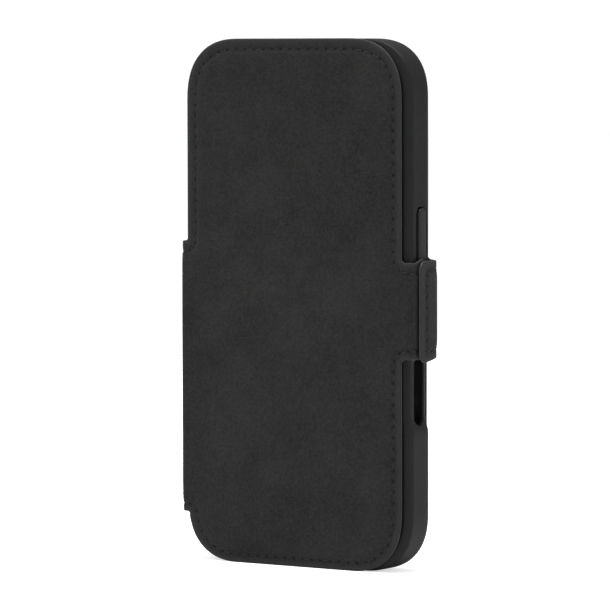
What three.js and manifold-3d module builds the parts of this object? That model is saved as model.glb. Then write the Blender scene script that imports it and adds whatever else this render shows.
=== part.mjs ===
// Folio wallet case for a phone: a moulded shell, a leather cover that folds over the screen,
// and a closure strap. Millimetres. +X is the side with the closure, the cover faces -Y,
// +Z is up and the case stands on its lower edge.

import * as THREE from 'three';
import { mergeVertices } from 'three/addons/utils/BufferGeometryUtils.js';
import Module from 'manifold-3d';

const wasm = await Module();
wasm.setup();

// ---- driving dimensions ------------------------------------------------------------------------------

// the phone that the case is made for
const phoneWidth = 71.5;
const phoneHeight = 149.6;
const phoneDepth = 8.25;
const phoneGap = 0.2;

// moulded shell
const sideWall = 2.2;
const endWall = 2.5;
const backWall = 1.2;
const lipHeight = 1.3;
const lipOverGlass = 1.35;
const lipSlope = 0.7;
const lipSlopeWidth = 2.6;
const rearRadius = 3;
const shellCorner = 19;
const liningSheet = 0.3;
const liningToWall = 0.4;
const glueLine = 0.03;

// leather, boards and linings
const coverPastHinge = 1.2;
const coverCorner = 18;
const cornerPower = 2.4;
const leather = 0.8;
const foam = 0.3;
const board = 0.4;
const lining = 0.35;
const foamInset = 4.6;
const boardInset = 1.2;
const liningInset = 0.3;
const coverGap = 0.36;
const coverEdgeInside = 2.5;
const bondSheet = 0.12;
const bondInset = 1;
const backInset = 2.15;

// spine on the hinge side, cut away above and below
const spineBottom = 14.3;
const spineFromTop = 59.9;
const spineBulge = 1.9;
const foldClearance = 1.7;
const foldRadius = 2;
const spineTongue = 2.4;
const spineCorner = 1;
const tongueCorner = 1.5;
const spineBoardInset = 2;
const spineLiningInset = 0.5;
const backOverlap = 5;

// closure tab of the cover, bent round the side of the shell
const tabUnderStrap = 0.5;
const tabWidth = 27.9;
const tabFlare = 1.1;
const tabReach = 8;
const tabCorner = 2;
const tabRoot = 4;
const tabBend = 2.4;
const tabLeather = 0.5;
const tabSteel = 0.25;
const tabLining = 0.2;
const tabLiningInset = 0.3;
const tabLiningStart = 0.6;
const tabSteelInset = 3;
const tabSteelEnds = { front: 0.4, rear: 0.8 };
const tabFillet = 1.6;
const tabToShell = 0.6;

// closure strap, which comes round from the back and lies over the tab
const strapFromTop = 64.2;
const strapRearWidth = 27.8;
const strapEndWidth = 29.4;
const strapEnd = 2.6;
const strapLeather = 0.5;
const strapBoard = 0.5;
const strapLining = 0.2;
const strapBend = 4.8;
const strapCorner = 2.7;
const strapToTab = 0.4;
const strapFoldGap = 24;
const strapLiningInset = 0.3;
const strapBoardInset = 1.2;
const strapBoardEnds = { front: 0.6, rear: 0.3 };
const strapBoardCorner = 1.5;
const magnetWidth = 4.4;
const magnetHeight = 8.5;
const magnetSpacing = 12;
const magnetGap = 0.3;
const magnetCorner = 0.6;

// pockets inside the cover
const pocketSheet = 0.3;
const pocketSideMargin = 6.5;
const notePocketBottom = 14;
const notePocketFromTop = 15;
const cardPocketHeight = 74;
const cardPocketAboveNote = 10;
const cardPocketBelowNote = 14;
const thumbNotch = 9;

// openings and keys in the shell, placed from its top as on the phone
const cameraWindow = 38;
const cameraCorner = 10;
const cameraFromSide = 24.65;
const cameraFromTop = 24;
const cameraRim = 1.5;
const windowMargin = { lining: 0.5, bond: 0.5, leather: 0.3 };
const controlSlotFromTop = 101.95;
const controlSlotLength = 20.5;
const controlSlotWidth = 5;
const scoopDepth = 1;
const scoopRamp = 4.6;
const scoopSteps = 4;
const portLength = 13;
const portWidth = 6.5;
const speakerLength = 8;
const speakerWidth = 3;
const speakerCentreX = 14.3;
const keyOpening = 5.6;
const keyPlay = 0.3;
const keyFlange = 0.8;
const keyFlangeThickness = 0.5;
const keyProud = 0.25;
const keyOuterWall = 1.2;
const keyFrontGap = 1.2;
const keyForward = 0.1;
const keys = [
  { name: 'power_button', side: 1, fromTop: 58.6, length: 20 },
  { name: 'volume_down_button', side: -1, fromTop: 53.5, length: 11 },
  { name: 'volume_up_button', side: -1, fromTop: 39.5, length: 11 },
  { name: 'action_button', side: -1, fromTop: 28, length: 7 },
];

// how far a cutter runs past what it cuts, and how far two welded solids share a face
const past = 1;
const weld = 0.02;

// ---- places worked out from them, from the cover's front face and the shell's middle -----------------

const shellWidth = phoneWidth + 2 * (phoneGap + sideWall);
const shellHeight = phoneHeight + 2 * (phoneGap + endWall);
const shellSide = shellWidth / 2;
const coverThickness = leather + foam + board + lining + 3 * glueLine;
const lipFront = coverThickness + coverGap;
const glassFront = lipFront + lipHeight;
const pocketFloor = glassFront + phoneDepth + phoneGap / 2 + liningSheet + 2 * glueLine;
const shellBack = pocketFloor + backWall;
const backLeatherFront = shellBack + bondSheet + 2 * glueLine;
const backFace = backLeatherFront + leather;
const coverRight = shellSide - coverEdgeInside;
const coverLeft = -shellSide - coverPastHinge;
const spineOuter = coverLeft - spineBulge;
const foldOffset = leather / 2 + (1 - Math.PI / 4) * foldRadius;
const frontFold = { x: spineOuter + foldOffset, y: foldOffset };
const rearFold = { x: spineOuter + foldOffset, y: backFace - foldOffset };
const tabOuter = shellSide + tabToShell + tabLining + tabSteel + tabLeather + 2 * glueLine;
const strapInner = tabOuter + strapToTab;
const strapOuter = strapInner + strapLining + strapBoard + strapLeather + 2 * glueLine;
const strapBendCentre = { x: strapOuter - strapBend, y: backFace - strapBend };
const spineTop = shellHeight - spineFromTop;
const strapTop = shellHeight - strapFromTop;
const strapRearBottom = strapTop - strapRearWidth;
const strapEndBottom = strapTop - strapEndWidth;
const strapMiddle = (strapTop + strapRearBottom) / 2;
const tabTop = strapTop - tabUnderStrap;
const tabBottom = tabTop - tabWidth;
const phoneMiddle = glassFront + phoneDepth / 2;
const caseMiddleX = (spineOuter + strapOuter) / 2;

// ---- outlines ----------------------------------------------------------------------------------------

// A rectangle whose corners are quarter superellipses, so the straight sides run into them smoothly.
function roundedPanel(left, right, bottom, top, corner, steps = 9) {
  const shape = new THREE.Shape();
  const corners = [
    [right - corner, top - corner, 0],
    [left + corner, top - corner, 1],
    [left + corner, bottom + corner, 2],
    [right - corner, bottom + corner, 3],
  ];
  corners.forEach(([x, y, quarter]) => {
    for (let i = 0; i <= steps; i++) {
      const a = ((quarter + i / steps) * Math.PI) / 2;
      const px = x + corner * Math.sign(Math.cos(a)) * Math.abs(Math.cos(a)) ** (2 / cornerPower);
      const py = y + corner * Math.sign(Math.sin(a)) * Math.abs(Math.sin(a)) ** (2 / cornerPower);
      if (quarter === 0 && i === 0) shape.moveTo(px, py);
      else shape.lineTo(px, py);
    }
  });
  shape.closePath();
  return shape;
}

// A rectangle with circular corners.
function roundedRectangle(left, right, bottom, top, radius) {
  const shape = new THREE.Shape();
  shape.moveTo(right, top - radius);
  shape.absarc(right - radius, top - radius, radius, 0, Math.PI / 2);
  shape.absarc(left + radius, top - radius, radius, Math.PI / 2, Math.PI);
  shape.absarc(left + radius, bottom + radius, radius, Math.PI, 1.5 * Math.PI);
  shape.absarc(right - radius, bottom + radius, radius, 1.5 * Math.PI, 2 * Math.PI);
  return shape;
}

function slot(x, y, width, height) {
  const radius = Math.min(width, height) / 2 - 0.01;
  return roundedRectangle(x - width / 2, x + width / 2, y - height / 2, y + height / 2, radius);
}

function polygon(points) {
  return new THREE.Shape(points.map(([x, y]) => new THREE.Vector2(x, y)));
}

function shellOutline(inset) {
  return roundedPanel(-shellSide + inset, shellSide - inset, inset, shellHeight - inset, shellCorner - inset);
}

function coverOutline(inset) {
  const corner = coverCorner - inset;
  return roundedPanel(coverLeft + inset, coverRight - inset, inset, shellHeight - inset, corner);
}

// ---- solids ------------------------------------------------------------------------------------------

function toSolid(geometry) {
  const bare = geometry.clone();
  bare.deleteAttribute('normal');
  bare.deleteAttribute('uv');
  const merged = mergeVertices(bare, 1e-5);
  return new wasm.Manifold(
    new wasm.Mesh({
      numProp: 3,
      vertProperties: new Float32Array(merged.attributes.position.array),
      triVerts: new Uint32Array(merged.index.array),
    }),
  );
}

function toGeometry(solid) {
  const mesh = solid.getMesh();
  const geometry = new THREE.BufferGeometry();
  geometry.setAttribute('position', new THREE.BufferAttribute(new Float32Array(mesh.vertProperties), 3));
  geometry.setIndex(new THREE.BufferAttribute(new Uint32Array(mesh.triVerts), 1));
  return geometry;
}

function extrude(shape, length, options = {}) {
  const settings = { depth: length, bevelEnabled: false, curveSegments: 3, ...options };
  return new THREE.ExtrudeGeometry(shape, settings);
}

// An outline in X and Z, made solid from depth y0 to depth y1.
function plate(shape, y0, y1) {
  return toSolid(extrude(shape, y1 - y0).rotateX(Math.PI / 2).translate(0, y1, 0));
}

// The same with both faces' edges cut back by width over depth, in the given number of steps.
function bevelledPlate(shape, y0, y1, depth, width, steps) {
  const bevel = {
    bevelEnabled: true,
    bevelThickness: depth,
    bevelSize: width,
    bevelOffset: -width,
    bevelSegments: steps,
  };
  const body = extrude(shape, y1 - y0 - 2 * depth, bevel);
  return toSolid(body.rotateX(Math.PI / 2).translate(0, y1 - depth, 0));
}

// An outline in Y and Z, made solid from x0 to x1.
function sidePlate(shape, x0, x1) {
  const across = new THREE.Matrix4().makeBasis(
    new THREE.Vector3(0, 1, 0),
    new THREE.Vector3(0, 0, 1),
    new THREE.Vector3(1, 0, 0),
  );
  return toSolid(extrude(shape, x1 - x0).applyMatrix4(across).translate(x0, 0, 0));
}

// An outline in X and Y, made solid from z0 to z1.
function upright(shape, z0, z1) {
  return toSolid(extrude(shape, z1 - z0).translate(0, 0, z0));
}

// ---- materials ---------------------------------------------------------------------------------------

function material(color, roughness, metalness = 0) {
  return new THREE.MeshStandardMaterial({ color, roughness, metalness });
}

const finish = {
  leather: () => material(0x2e2e30, 0.85),
  shell: () => material(0x333335, 0.55),
  key: () => material(0x363638, 0.5),
  microfibre: () => material(0x3a3a3d, 0.95),
  board: () => material(0x8c7a62, 0.9),
  foam: () => material(0x55565a, 1),
  glue: () => material(0xb9b9b4, 0.7),
  steel: () => material(0x9a9ca0, 0.4, 1),
  magnet: () => material(0xb4b6ba, 0.3, 1),
};

const group = new THREE.Group();

function addPart(name, solid, finishOf) {
  const mesh = new THREE.Mesh(toGeometry(solid), finishOf());
  mesh.name = name;
  group.add(mesh);
}

// ---- the shell and its keys --------------------------------------------------------------------------

const keyMiddle = phoneMiddle - keyForward;

// The outline of a key's opening, in Y and Z, grown by the given amount.
function keyOutline(key, grow) {
  return slot(keyMiddle, shellHeight - key.fromTop, keyOpening + 2 * grow, key.length + 2 * grow);
}

// A plate from one depth in the side wall to another, counted inwards from its outer face.
function inSideWall(shape, side, from, to) {
  const ends = [side * (shellSide - from), side * (shellSide - to)].sort((a, b) => a - b);
  return sidePlate(shape, ends[0], ends[1]);
}

function keyCut(key) {
  const opening = inSideWall(keyOutline(key, 0), key.side, -past, sideWall + past);
  const flangeOutline = keyOutline(key, keyFlange + keyPlay);
  const flangeRoom = inSideWall(flangeOutline, key.side, keyOuterWall, sideWall + past);
  return opening.add(flangeRoom);
}

function addKey(key) {
  const front = keyMiddle - keyOpening / 2 + (key.side > 0 ? keyFrontGap : keyPlay);
  const back = keyMiddle + keyOpening / 2 - keyPlay;
  const height = shellHeight - key.fromTop;
  const capOutline = slot((front + back) / 2, height, back - front, key.length - 2 * keyPlay);
  const flangeFront = keyOuterWall + 2 * glueLine;
  const flangeBack = flangeFront + keyFlangeThickness;
  const cap = inSideWall(capOutline, key.side, -keyProud, (flangeFront + flangeBack) / 2);
  const flange = inSideWall(keyOutline(key, keyFlange), key.side, flangeFront, flangeBack);
  addPart(key.name, cap.add(flange), finish.key);
}

const controlSlotMiddle = shellHeight - controlSlotFromTop;

function controlCut() {
  const outline = slot(phoneMiddle, controlSlotMiddle, controlSlotWidth, controlSlotLength);
  return inSideWall(outline, 1, -past, sideWall + past);
}

// A finger scoop round the slot: the side wall is lowered, with a smooth ramp at each end.
function scoopCut() {
  const reach = (controlSlotLength - controlSlotWidth) / 2;
  const outside = shellSide + past;
  const points = [[outside, controlSlotMiddle + reach + scoopRamp]];
  [1, -1].forEach((up) => {
    for (let i = 0; i <= scoopSteps; i++) {
      const t = up > 0 ? 1 - i / scoopSteps : i / scoopSteps;
      const depth = scoopDepth * (1 - t * t * (3 - 2 * t));
      points.push([shellSide - depth, controlSlotMiddle + up * (reach + t * scoopRamp)]);
    }
  });
  points.push([outside, controlSlotMiddle - reach - scoopRamp]);
  return plate(polygon(points), 0, backFace + past);
}

function endCut(x, length, width) {
  const outline = slot(x, phoneMiddle, length, width);
  return upright(outline, -past, endWall + phoneGap + past);
}

function cameraCut(grow, y0, y1) {
  const half = cameraWindow / 2 + grow;
  const x = shellSide - cameraFromSide;
  const z = shellHeight - cameraFromTop;
  return plate(roundedRectangle(x - half, x + half, z - half, z + half, cameraCorner + grow), y0, y1);
}

// A tray with a sloped lip in front, round rear edges, and a rim round the camera window that
// stands level with the leather on the back.
function addShell() {
  const beyond = 2 * rearRadius;
  const rounded = bevelledPlate(shellOutline(0), -beyond, shellBack, rearRadius, rearRadius, 4);
  const sloped = bevelledPlate(shellOutline(0), lipFront, shellBack + beyond, lipSlope, lipSlopeWidth, 1);
  const body = rounded.intersect(sloped);
  const pocket = plate(shellOutline(sideWall), glassFront, pocketFloor);
  const mouth = plate(shellOutline(sideWall + lipOverGlass), 0, glassFront + past);
  const rim = cameraCut(cameraRim, shellBack - weld, backFace);
  let shell = body.add(rim).subtract(pocket).subtract(mouth);
  const cuts = [
    cameraCut(0, pocketFloor - past, backFace + past),
    controlCut(),
    scoopCut(),
    endCut(0, portLength, portWidth),
    endCut(-speakerCentreX, speakerLength, speakerWidth),
    endCut(speakerCentreX, speakerLength, speakerWidth),
    ...keys.map(keyCut),
  ];
  cuts.forEach((cut) => {
    shell = shell.subtract(cut);
  });
  addPart('phone_shell', shell, finish.shell);
  keys.forEach(addKey);
  const liningBack = pocketFloor - glueLine;
  const floorSheet = plate(shellOutline(sideWall + liningToWall), liningBack - liningSheet, liningBack);
  const window = cameraCut(windowMargin.lining, glassFront, shellBack + past);
  addPart('shell_lining', floorSheet.subtract(window), finish.microfibre);
}

// ---- the back ----------------------------------------------------------------------------------------

// The part of a ring between two angles, in degrees from +X.
function ringPart(centre, inner, outer, from, to) {
  const shape = new THREE.Shape();
  const a = THREE.MathUtils.degToRad(from);
  const b = THREE.MathUtils.degToRad(to);
  shape.absarc(centre.x, centre.y, outer, a, b, false);
  shape.absarc(centre.x, centre.y, inner, b, a, true);
  return shape;
}

function addBack() {
  const outline = shellOutline(backInset);
  const bondFront = shellBack + glueLine;
  const bond = plate(shellOutline(backInset + bondInset), bondFront, bondFront + bondSheet);
  const bondWindow = cameraCut(cameraRim + windowMargin.bond, shellBack - past, backFace + past);
  addPart('back_bond_sheet', bond.subtract(bondWindow), finish.glue);
  const left = -shellSide + backInset;
  const right = shellSide - backInset;
  const tongueLeft = left - spineTongue;
  const tongue = roundedRectangle(tongueLeft, left + backOverlap, spineBottom, spineTop, tongueCorner);
  const strapRoot = polygon([
    [right - backOverlap, strapRearBottom],
    [strapBendCentre.x + weld, strapRearBottom],
    [strapBendCentre.x + weld, strapTop],
    [right - backOverlap, strapTop],
  ]);
  const inner = strapBend - leather;
  const bendEnd = ringPart(strapBendCentre, inner, strapBend, 45 + strapFoldGap / 2, 90);
  const panel = plate(outline, backLeatherFront, backFace)
    .add(plate(tongue, backLeatherFront, backFace))
    .add(plate(strapRoot, backLeatherFront, backFace))
    .add(upright(bendEnd, strapRearBottom, strapTop));
  const window = cameraCut(cameraRim + windowMargin.leather, shellBack - past, backFace + past);
  addPart('back_leather', panel.subtract(window), finish.leather);
}

// ---- the spine ---------------------------------------------------------------------------------------

function addSpine() {
  const front = frontFold.y + foldClearance;
  const rear = rearFold.y - foldClearance;
  const layers = [
    ['spine_leather', leather, 0, finish.leather],
    ['spine_board', board, spineBoardInset, finish.board],
    ['spine_lining', lining, spineLiningInset, finish.microfibre],
  ];
  let x = spineOuter;
  layers.forEach(([name, thickness, inset, finishOf]) => {
    const outline = roundedRectangle(front, rear, spineBottom + inset, spineTop - inset, spineCorner);
    addPart(name, sidePlate(outline, x, x + thickness), finishOf);
    x += thickness + glueLine;
  });
}

// ---- the cover and its tab ---------------------------------------------------------------------------

const tabBendCentre = { x: tabOuter - tabBend, y: tabBend };

// The tab seen from the side, in Y and Z. It widens a little at the top towards its rounded end.
function tabSide(inset) {
  const end = tabReach - inset;
  const low = tabBottom + inset;
  const high = tabTop - inset;
  const middle = end - tabCorner;
  const shape = new THREE.Shape();
  shape.moveTo(-past, low);
  shape.lineTo(middle, low);
  shape.absarc(middle, low + tabCorner, tabCorner, -Math.PI / 2, 0, false);
  shape.absarc(middle, high + tabFlare - tabCorner, tabCorner, 0, Math.PI / 2, false);
  shape.lineTo(tabBend, high);
  shape.lineTo(-past, high);
  return shape;
}

// The cover's leather runs on round the bend, thinned to the tab's own thickness.
function tabLeatherSection() {
  const shape = new THREE.Shape();
  shape.moveTo(coverRight - tabRoot, 0);
  shape.lineTo(tabBendCentre.x, 0);
  shape.absarc(tabBendCentre.x, tabBendCentre.y, tabBend, -Math.PI / 2, 0, false);
  shape.lineTo(tabOuter, tabReach);
  shape.lineTo(tabOuter - tabLeather, tabReach);
  shape.lineTo(tabOuter - tabLeather, tabBend);
  shape.absarc(tabBendCentre.x, tabBendCentre.y, tabBend - tabLeather, 0, -Math.PI / 2, true);
  shape.lineTo(coverRight, leather);
  shape.lineTo(coverRight - tabRoot, leather);
  return shape;
}

function tabLiningSection() {
  const outer = tabOuter - tabLeather - tabSteel - 2 * glueLine;
  const radius = outer - tabBendCentre.x;
  const start = coverRight + tabLiningStart;
  const end = tabReach - tabLiningInset;
  const shape = new THREE.Shape();
  shape.moveTo(start, tabBend - radius);
  shape.absarc(tabBendCentre.x, tabBendCentre.y, radius, -Math.PI / 2, 0, false);
  shape.lineTo(outer, end);
  shape.lineTo(outer - tabLining, end);
  shape.absarc(tabBendCentre.x, tabBendCentre.y, radius - tabLining, 0, -Math.PI / 2, true);
  shape.lineTo(start, tabBend - radius + tabLining);
  return shape;
}

// A concave corner between the cover's edge and the tab, above it or below it.
function tabFilletOutline(z, up) {
  const shape = new THREE.Shape();
  const far = coverRight + tabFillet;
  const steps = 5;
  shape.moveTo(coverRight - past, z - up);
  shape.lineTo(far, z - up);
  shape.lineTo(far, z);
  for (let i = 1; i <= steps; i++) {
    const a = ((i / steps) * Math.PI) / 2;
    shape.lineTo(far - tabFillet * Math.sin(a), z + up * tabFillet * (1 - Math.cos(a)));
  }
  shape.lineTo(coverRight - past, z + up * tabFillet);
  return shape;
}

function addCover() {
  const bent = upright(tabLeatherSection(), tabBottom, tabTop + tabFlare);
  const tab = bent.intersect(sidePlate(tabSide(0), coverRight - tabRoot - past, tabOuter + past));
  const skin = plate(coverOutline(0), 0, leather)
    .add(tab)
    .add(plate(tabFilletOutline(tabTop, 1), 0, tabLeather))
    .add(plate(tabFilletOutline(tabBottom, -1), 0, tabLeather));
  addPart('cover_leather', skin, finish.leather);

  let y = leather + glueLine;
  const layers = [
    ['cover_foam', foam, foamInset, finish.foam],
    ['cover_board', board, boardInset, finish.board],
    ['cover_lining', lining, liningInset, finish.microfibre],
  ];
  layers.forEach(([name, thickness, inset, finishOf]) => {
    addPart(name, plate(coverOutline(inset), y, y + thickness), finishOf);
    y += thickness + glueLine;
  });

  const steelOuter = tabOuter - tabLeather - glueLine;
  const steelOutline = roundedRectangle(
    tabBend + tabSteelEnds.front,
    tabReach - tabSteelEnds.rear,
    tabBottom + tabSteelInset,
    tabTop - tabSteelInset,
    tabSteelEnds.rear,
  );
  addPart('tab_steel_plate', sidePlate(steelOutline, steelOuter - tabSteel, steelOuter), finish.steel);
  const liningBent = upright(tabLiningSection(), tabBottom, tabTop + tabFlare);
  const trim = sidePlate(tabSide(tabLiningInset), coverRight, tabOuter + past);
  addPart('tab_lining', liningBent.intersect(trim), finish.microfibre);
}

// ---- pockets -----------------------------------------------------------------------------------------

// A pocket front with a thumb notch in the middle of its upper edge.
function pocketOutline(bottom, top) {
  const left = coverLeft + pocketSideMargin;
  const right = coverRight - pocketSideMargin;
  const middle = (left + right) / 2;
  const shape = new THREE.Shape();
  shape.moveTo(left, bottom);
  shape.lineTo(right, bottom);
  shape.lineTo(right, top);
  shape.absarc(middle, top, thumbNotch, 0, Math.PI, true);
  shape.lineTo(left, top);
  return shape;
}

// The card pockets lie on the note pocket, spread evenly from near its lower edge to near its top.
function addPockets() {
  const cards = ['card_pocket_upper', 'card_pocket_middle', 'card_pocket_lower'];
  const notePocketTop = shellHeight - notePocketFromTop;
  const lowest = notePocketBottom + cardPocketAboveNote;
  const highest = notePocketTop - cardPocketBelowNote - cardPocketHeight;
  const step = (highest - lowest) / (cards.length - 1);
  let y = coverThickness + glueLine;
  const pocket = (name, bottom, top) => {
    addPart(name, plate(pocketOutline(bottom, top), y, y + pocketSheet), finish.leather);
    y += pocketSheet + glueLine;
  };
  pocket('note_pocket', notePocketBottom, notePocketTop);
  cards.forEach((name, i) => {
    const bottom = highest - i * step;
    pocket(name, bottom, bottom + cardPocketHeight);
  });
}

// ---- the closure strap -------------------------------------------------------------------------------

// The strap seen from the side, in Y and Z. Its free end has round corners, and its lower edge
// rises rearwards.
function strapSide(inset) {
  const end = strapEnd + inset;
  const rear = backFace;
  const corner = strapCorner - inset;
  const low = strapEndBottom + inset;
  const high = strapTop - inset;
  const shape = new THREE.Shape();
  shape.moveTo(rear, strapRearBottom + inset);
  shape.lineTo(rear, high);
  shape.lineTo(end + corner, high);
  shape.absarc(end + corner, high - corner, corner, Math.PI / 2, Math.PI, false);
  shape.absarc(end + corner, low + corner, corner, Math.PI, 1.45 * Math.PI, false);
  return shape;
}

// One layer of the strap: straight along the side, then part of the way round the rear corner.
function strapSection(outer, thickness, front) {
  const { x, y } = strapBendCentre;
  const arcEnd = THREE.MathUtils.degToRad(45 - strapFoldGap / 2);
  const shape = new THREE.Shape();
  shape.moveTo(outer - thickness, front);
  shape.lineTo(outer, front);
  shape.absarc(x, y, outer - x, 0, arcEnd, false);
  shape.absarc(x, y, outer - thickness - x, arcEnd, 0, true);
  return shape;
}

function strapLayer(outer, thickness, inset) {
  const bent = upright(strapSection(outer, thickness, strapEnd), strapEndBottom - past, strapTop + past);
  return bent.intersect(sidePlate(strapSide(inset), strapOuter - 2 * strapBend, strapOuter + past));
}

function addStrap() {
  addPart('strap_leather', strapLayer(strapOuter, strapLeather, 0), finish.leather);

  const boardOuter = strapOuter - strapLeather - glueLine;
  const boardInner = boardOuter - strapBoard;
  const front = strapEnd + strapBoardEnds.front;
  const rear = strapBendCentre.y - strapBoardEnds.rear;
  const low = strapRearBottom + strapBoardInset;
  const boardOutline = roundedRectangle(front, rear, low, strapTop - strapBoardInset, strapBoardCorner);
  const magnetY = (front + rear) / 2;
  let stiffener = sidePlate(boardOutline, boardInner, boardOuter);
  const magnets = [
    ['strap_magnet_upper', strapMiddle + magnetSpacing / 2],
    ['strap_magnet_lower', strapMiddle - magnetSpacing / 2],
  ];
  const magnetOutline = (z, grow) => {
    const halfY = magnetWidth / 2 + grow;
    const halfZ = magnetHeight / 2 + grow;
    return roundedRectangle(magnetY - halfY, magnetY + halfY, z - halfZ, z + halfZ, magnetCorner + grow);
  };
  magnets.forEach(([name, z]) => {
    const hole = sidePlate(magnetOutline(z, magnetGap), boardInner - past, boardOuter + past);
    stiffener = stiffener.subtract(hole);
    addPart(name, sidePlate(magnetOutline(z, 0), boardInner, boardOuter), finish.magnet);
  });
  addPart('strap_stiffener', stiffener, finish.board);
  const liningLayer = strapLayer(boardInner - glueLine, strapLining, strapLiningInset);
  addPart('strap_lining', liningLayer, finish.microfibre);
}

// ---- assembly ----------------------------------------------------------------------------------------

addShell();
addBack();
addSpine();
addCover();
addPockets();
addStrap();

// the origin is under the middle of the whole case
group.position.set(-caseMiddleX, -backFace / 2, 0);

export default group;
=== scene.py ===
# %% [markdown]
# # A phone wallet case
# The case is a moulded tray that a phone snaps into, wrapped in one strip of brushed leather. The leather
# runs from the strap, over the back and the spine, to the cover over the screen. The engineering model
# gives every size and joint, and this script builds the surfaces that a person sees and touches around it.

import math
from collections import Counter

import bmesh
import bpy
import numpy as np
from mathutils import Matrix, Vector, noise
from mathutils.geometry import delaunay_2d_cdt


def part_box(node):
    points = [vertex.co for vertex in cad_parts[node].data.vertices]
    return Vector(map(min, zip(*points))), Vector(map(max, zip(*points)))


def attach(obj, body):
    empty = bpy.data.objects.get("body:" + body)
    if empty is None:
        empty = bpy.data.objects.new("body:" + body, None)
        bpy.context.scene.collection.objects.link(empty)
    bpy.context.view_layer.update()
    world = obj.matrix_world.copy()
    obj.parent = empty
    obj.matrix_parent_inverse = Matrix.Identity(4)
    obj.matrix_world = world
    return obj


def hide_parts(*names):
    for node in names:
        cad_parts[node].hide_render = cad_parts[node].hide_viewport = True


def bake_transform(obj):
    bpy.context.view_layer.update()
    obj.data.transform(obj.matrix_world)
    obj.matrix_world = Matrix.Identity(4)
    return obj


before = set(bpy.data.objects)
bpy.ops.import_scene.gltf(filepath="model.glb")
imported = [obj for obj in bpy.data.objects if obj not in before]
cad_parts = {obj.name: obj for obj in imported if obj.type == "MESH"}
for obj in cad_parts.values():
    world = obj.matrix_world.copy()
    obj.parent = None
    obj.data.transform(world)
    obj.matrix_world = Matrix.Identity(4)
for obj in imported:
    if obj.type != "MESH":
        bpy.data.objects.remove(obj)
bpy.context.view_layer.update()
MM = 0.001
print("nodes in the frame:", len(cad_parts))

# %% [markdown]
# ## Places
# Every place comes from the frame, in millimetres, so that each skin lands on the solid it stands for.
# X runs to the strap's side, Y runs to the back and Z runs up. "Depth" always means how far below
# a piece's outer face something lies.


# %% Read the places from the frame
def box_mm(node):
    low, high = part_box(node)
    return np.array(low) / MM, np.array(high) / MM


def low_of(node, axis):
    return float(box_mm(node)[0]["xyz".index(axis)])


def high_of(node, axis):
    return float(box_mm(node)[1]["xyz".index(axis)])


GLUE_LINE = 0.03
LEATHER = 0.8
SKIVED = 0.5
COVER_LAP = 0.2
SPINE_PROUD = 0.3
LIP_PROUD = 0.22
TAB_MARGIN = 0.3
BOND_MARGIN = 3.15
FRONT = low_of("cover_leather", "y")
BACK = high_of("back_leather", "y")
HEIGHT = high_of("phone_shell", "z")
COVER_LEFT = low_of("cover_leather", "x")
COVER_RIGHT = high_of("cover_lining", "x") + COVER_LAP
COVER_CORNER = 18
COVER_INSIDE = high_of("cover_lining", "y")
SPINE_OUT = low_of("spine_leather", "x") - SPINE_PROUD
SPINE_LOW = low_of("spine_leather", "z")
SPINE_HIGH = high_of("spine_leather", "z")
TAB_OUT = high_of("cover_leather", "x")
TAB_LOW = low_of("tab_lining", "z") - TAB_MARGIN
TAB_FLARE = 1.1
TAB_HIGH = high_of("tab_lining", "z") + TAB_MARGIN - TAB_FLARE
STRAP_OUT = high_of("strap_leather", "x")
STRAP_LOW = low_of("strap_leather", "z")
STRAP_HIGH = high_of("strap_leather", "z")
STRAP_FRONT = low_of("strap_leather", "y")
BOND_LEFT, BOND_RIGHT = low_of("back_bond_sheet", "x"), high_of("back_bond_sheet", "x")
SHELL_SIDE = (BOND_RIGHT - BOND_LEFT) / 2 + BOND_MARGIN
SHELL_MIDDLE = (BOND_RIGHT + BOND_LEFT) / 2
SHELL_FRONT = low_of("phone_shell", "y") - LIP_PROUD
SHELL_BACK = low_of("back_bond_sheet", "y") - GLUE_LINE
SHELL_CORNER = 17.4
print(f"cover {COVER_LEFT:.2f} to {COVER_RIGHT:.2f}, shell half width {SHELL_SIDE:.2f}, back at {BACK:.2f}")

# %% [markdown]
# ## The camera, the floor and the light
# A long lens from the front left shows the cover and the strap's side together, with hardly any
# perspective. Large soft lights suit a black, brushed surface: a small lamp would leave hard spots on it.
# The backdrop that the camera sees is white, and is brighter than the even light that falls on the case.

# %% Camera
camera_data = bpy.data.cameras.new("camera")
camera_data.lens = 253
camera_data.sensor_width = 36
camera = bpy.data.objects.new("camera", camera_data)
camera.location = (0.690, -1.053, 0.152)
camera.rotation_euler = (math.radians(86.581), math.radians(0.12), math.radians(33.306))
bpy.context.scene.collection.objects.link(camera)
bpy.context.scene.camera = camera


# %% Lights and backdrop
CASE_MIDDLE = (0, 0, 0.08)
STUDIO_GLOW = 0.38
BACKDROP_GLOW = 1.05


def area_light(name, place, size, power):
    """A round, soft light aimed at the middle of the case."""
    data = bpy.data.lights.new(name, "AREA")
    data.shape = "DISK"
    data.size = size
    data.energy = power
    lamp = bpy.data.objects.new(name, data)
    lamp.location = place
    lamp.rotation_euler = (Vector(CASE_MIDDLE) - Vector(place)).to_track_quat("-Z", "Y").to_euler()
    bpy.context.scene.collection.objects.link(lamp)


area_light("light_above", (0.1, -0.15, 1.3), size=0.9, power=16)
area_light("light_right", (1.1, 0.15, 0.75), size=0.8, power=1.6)
area_light("light_front", (-0.35, -0.75, 1.0), size=0.9, power=3.1)

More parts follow.
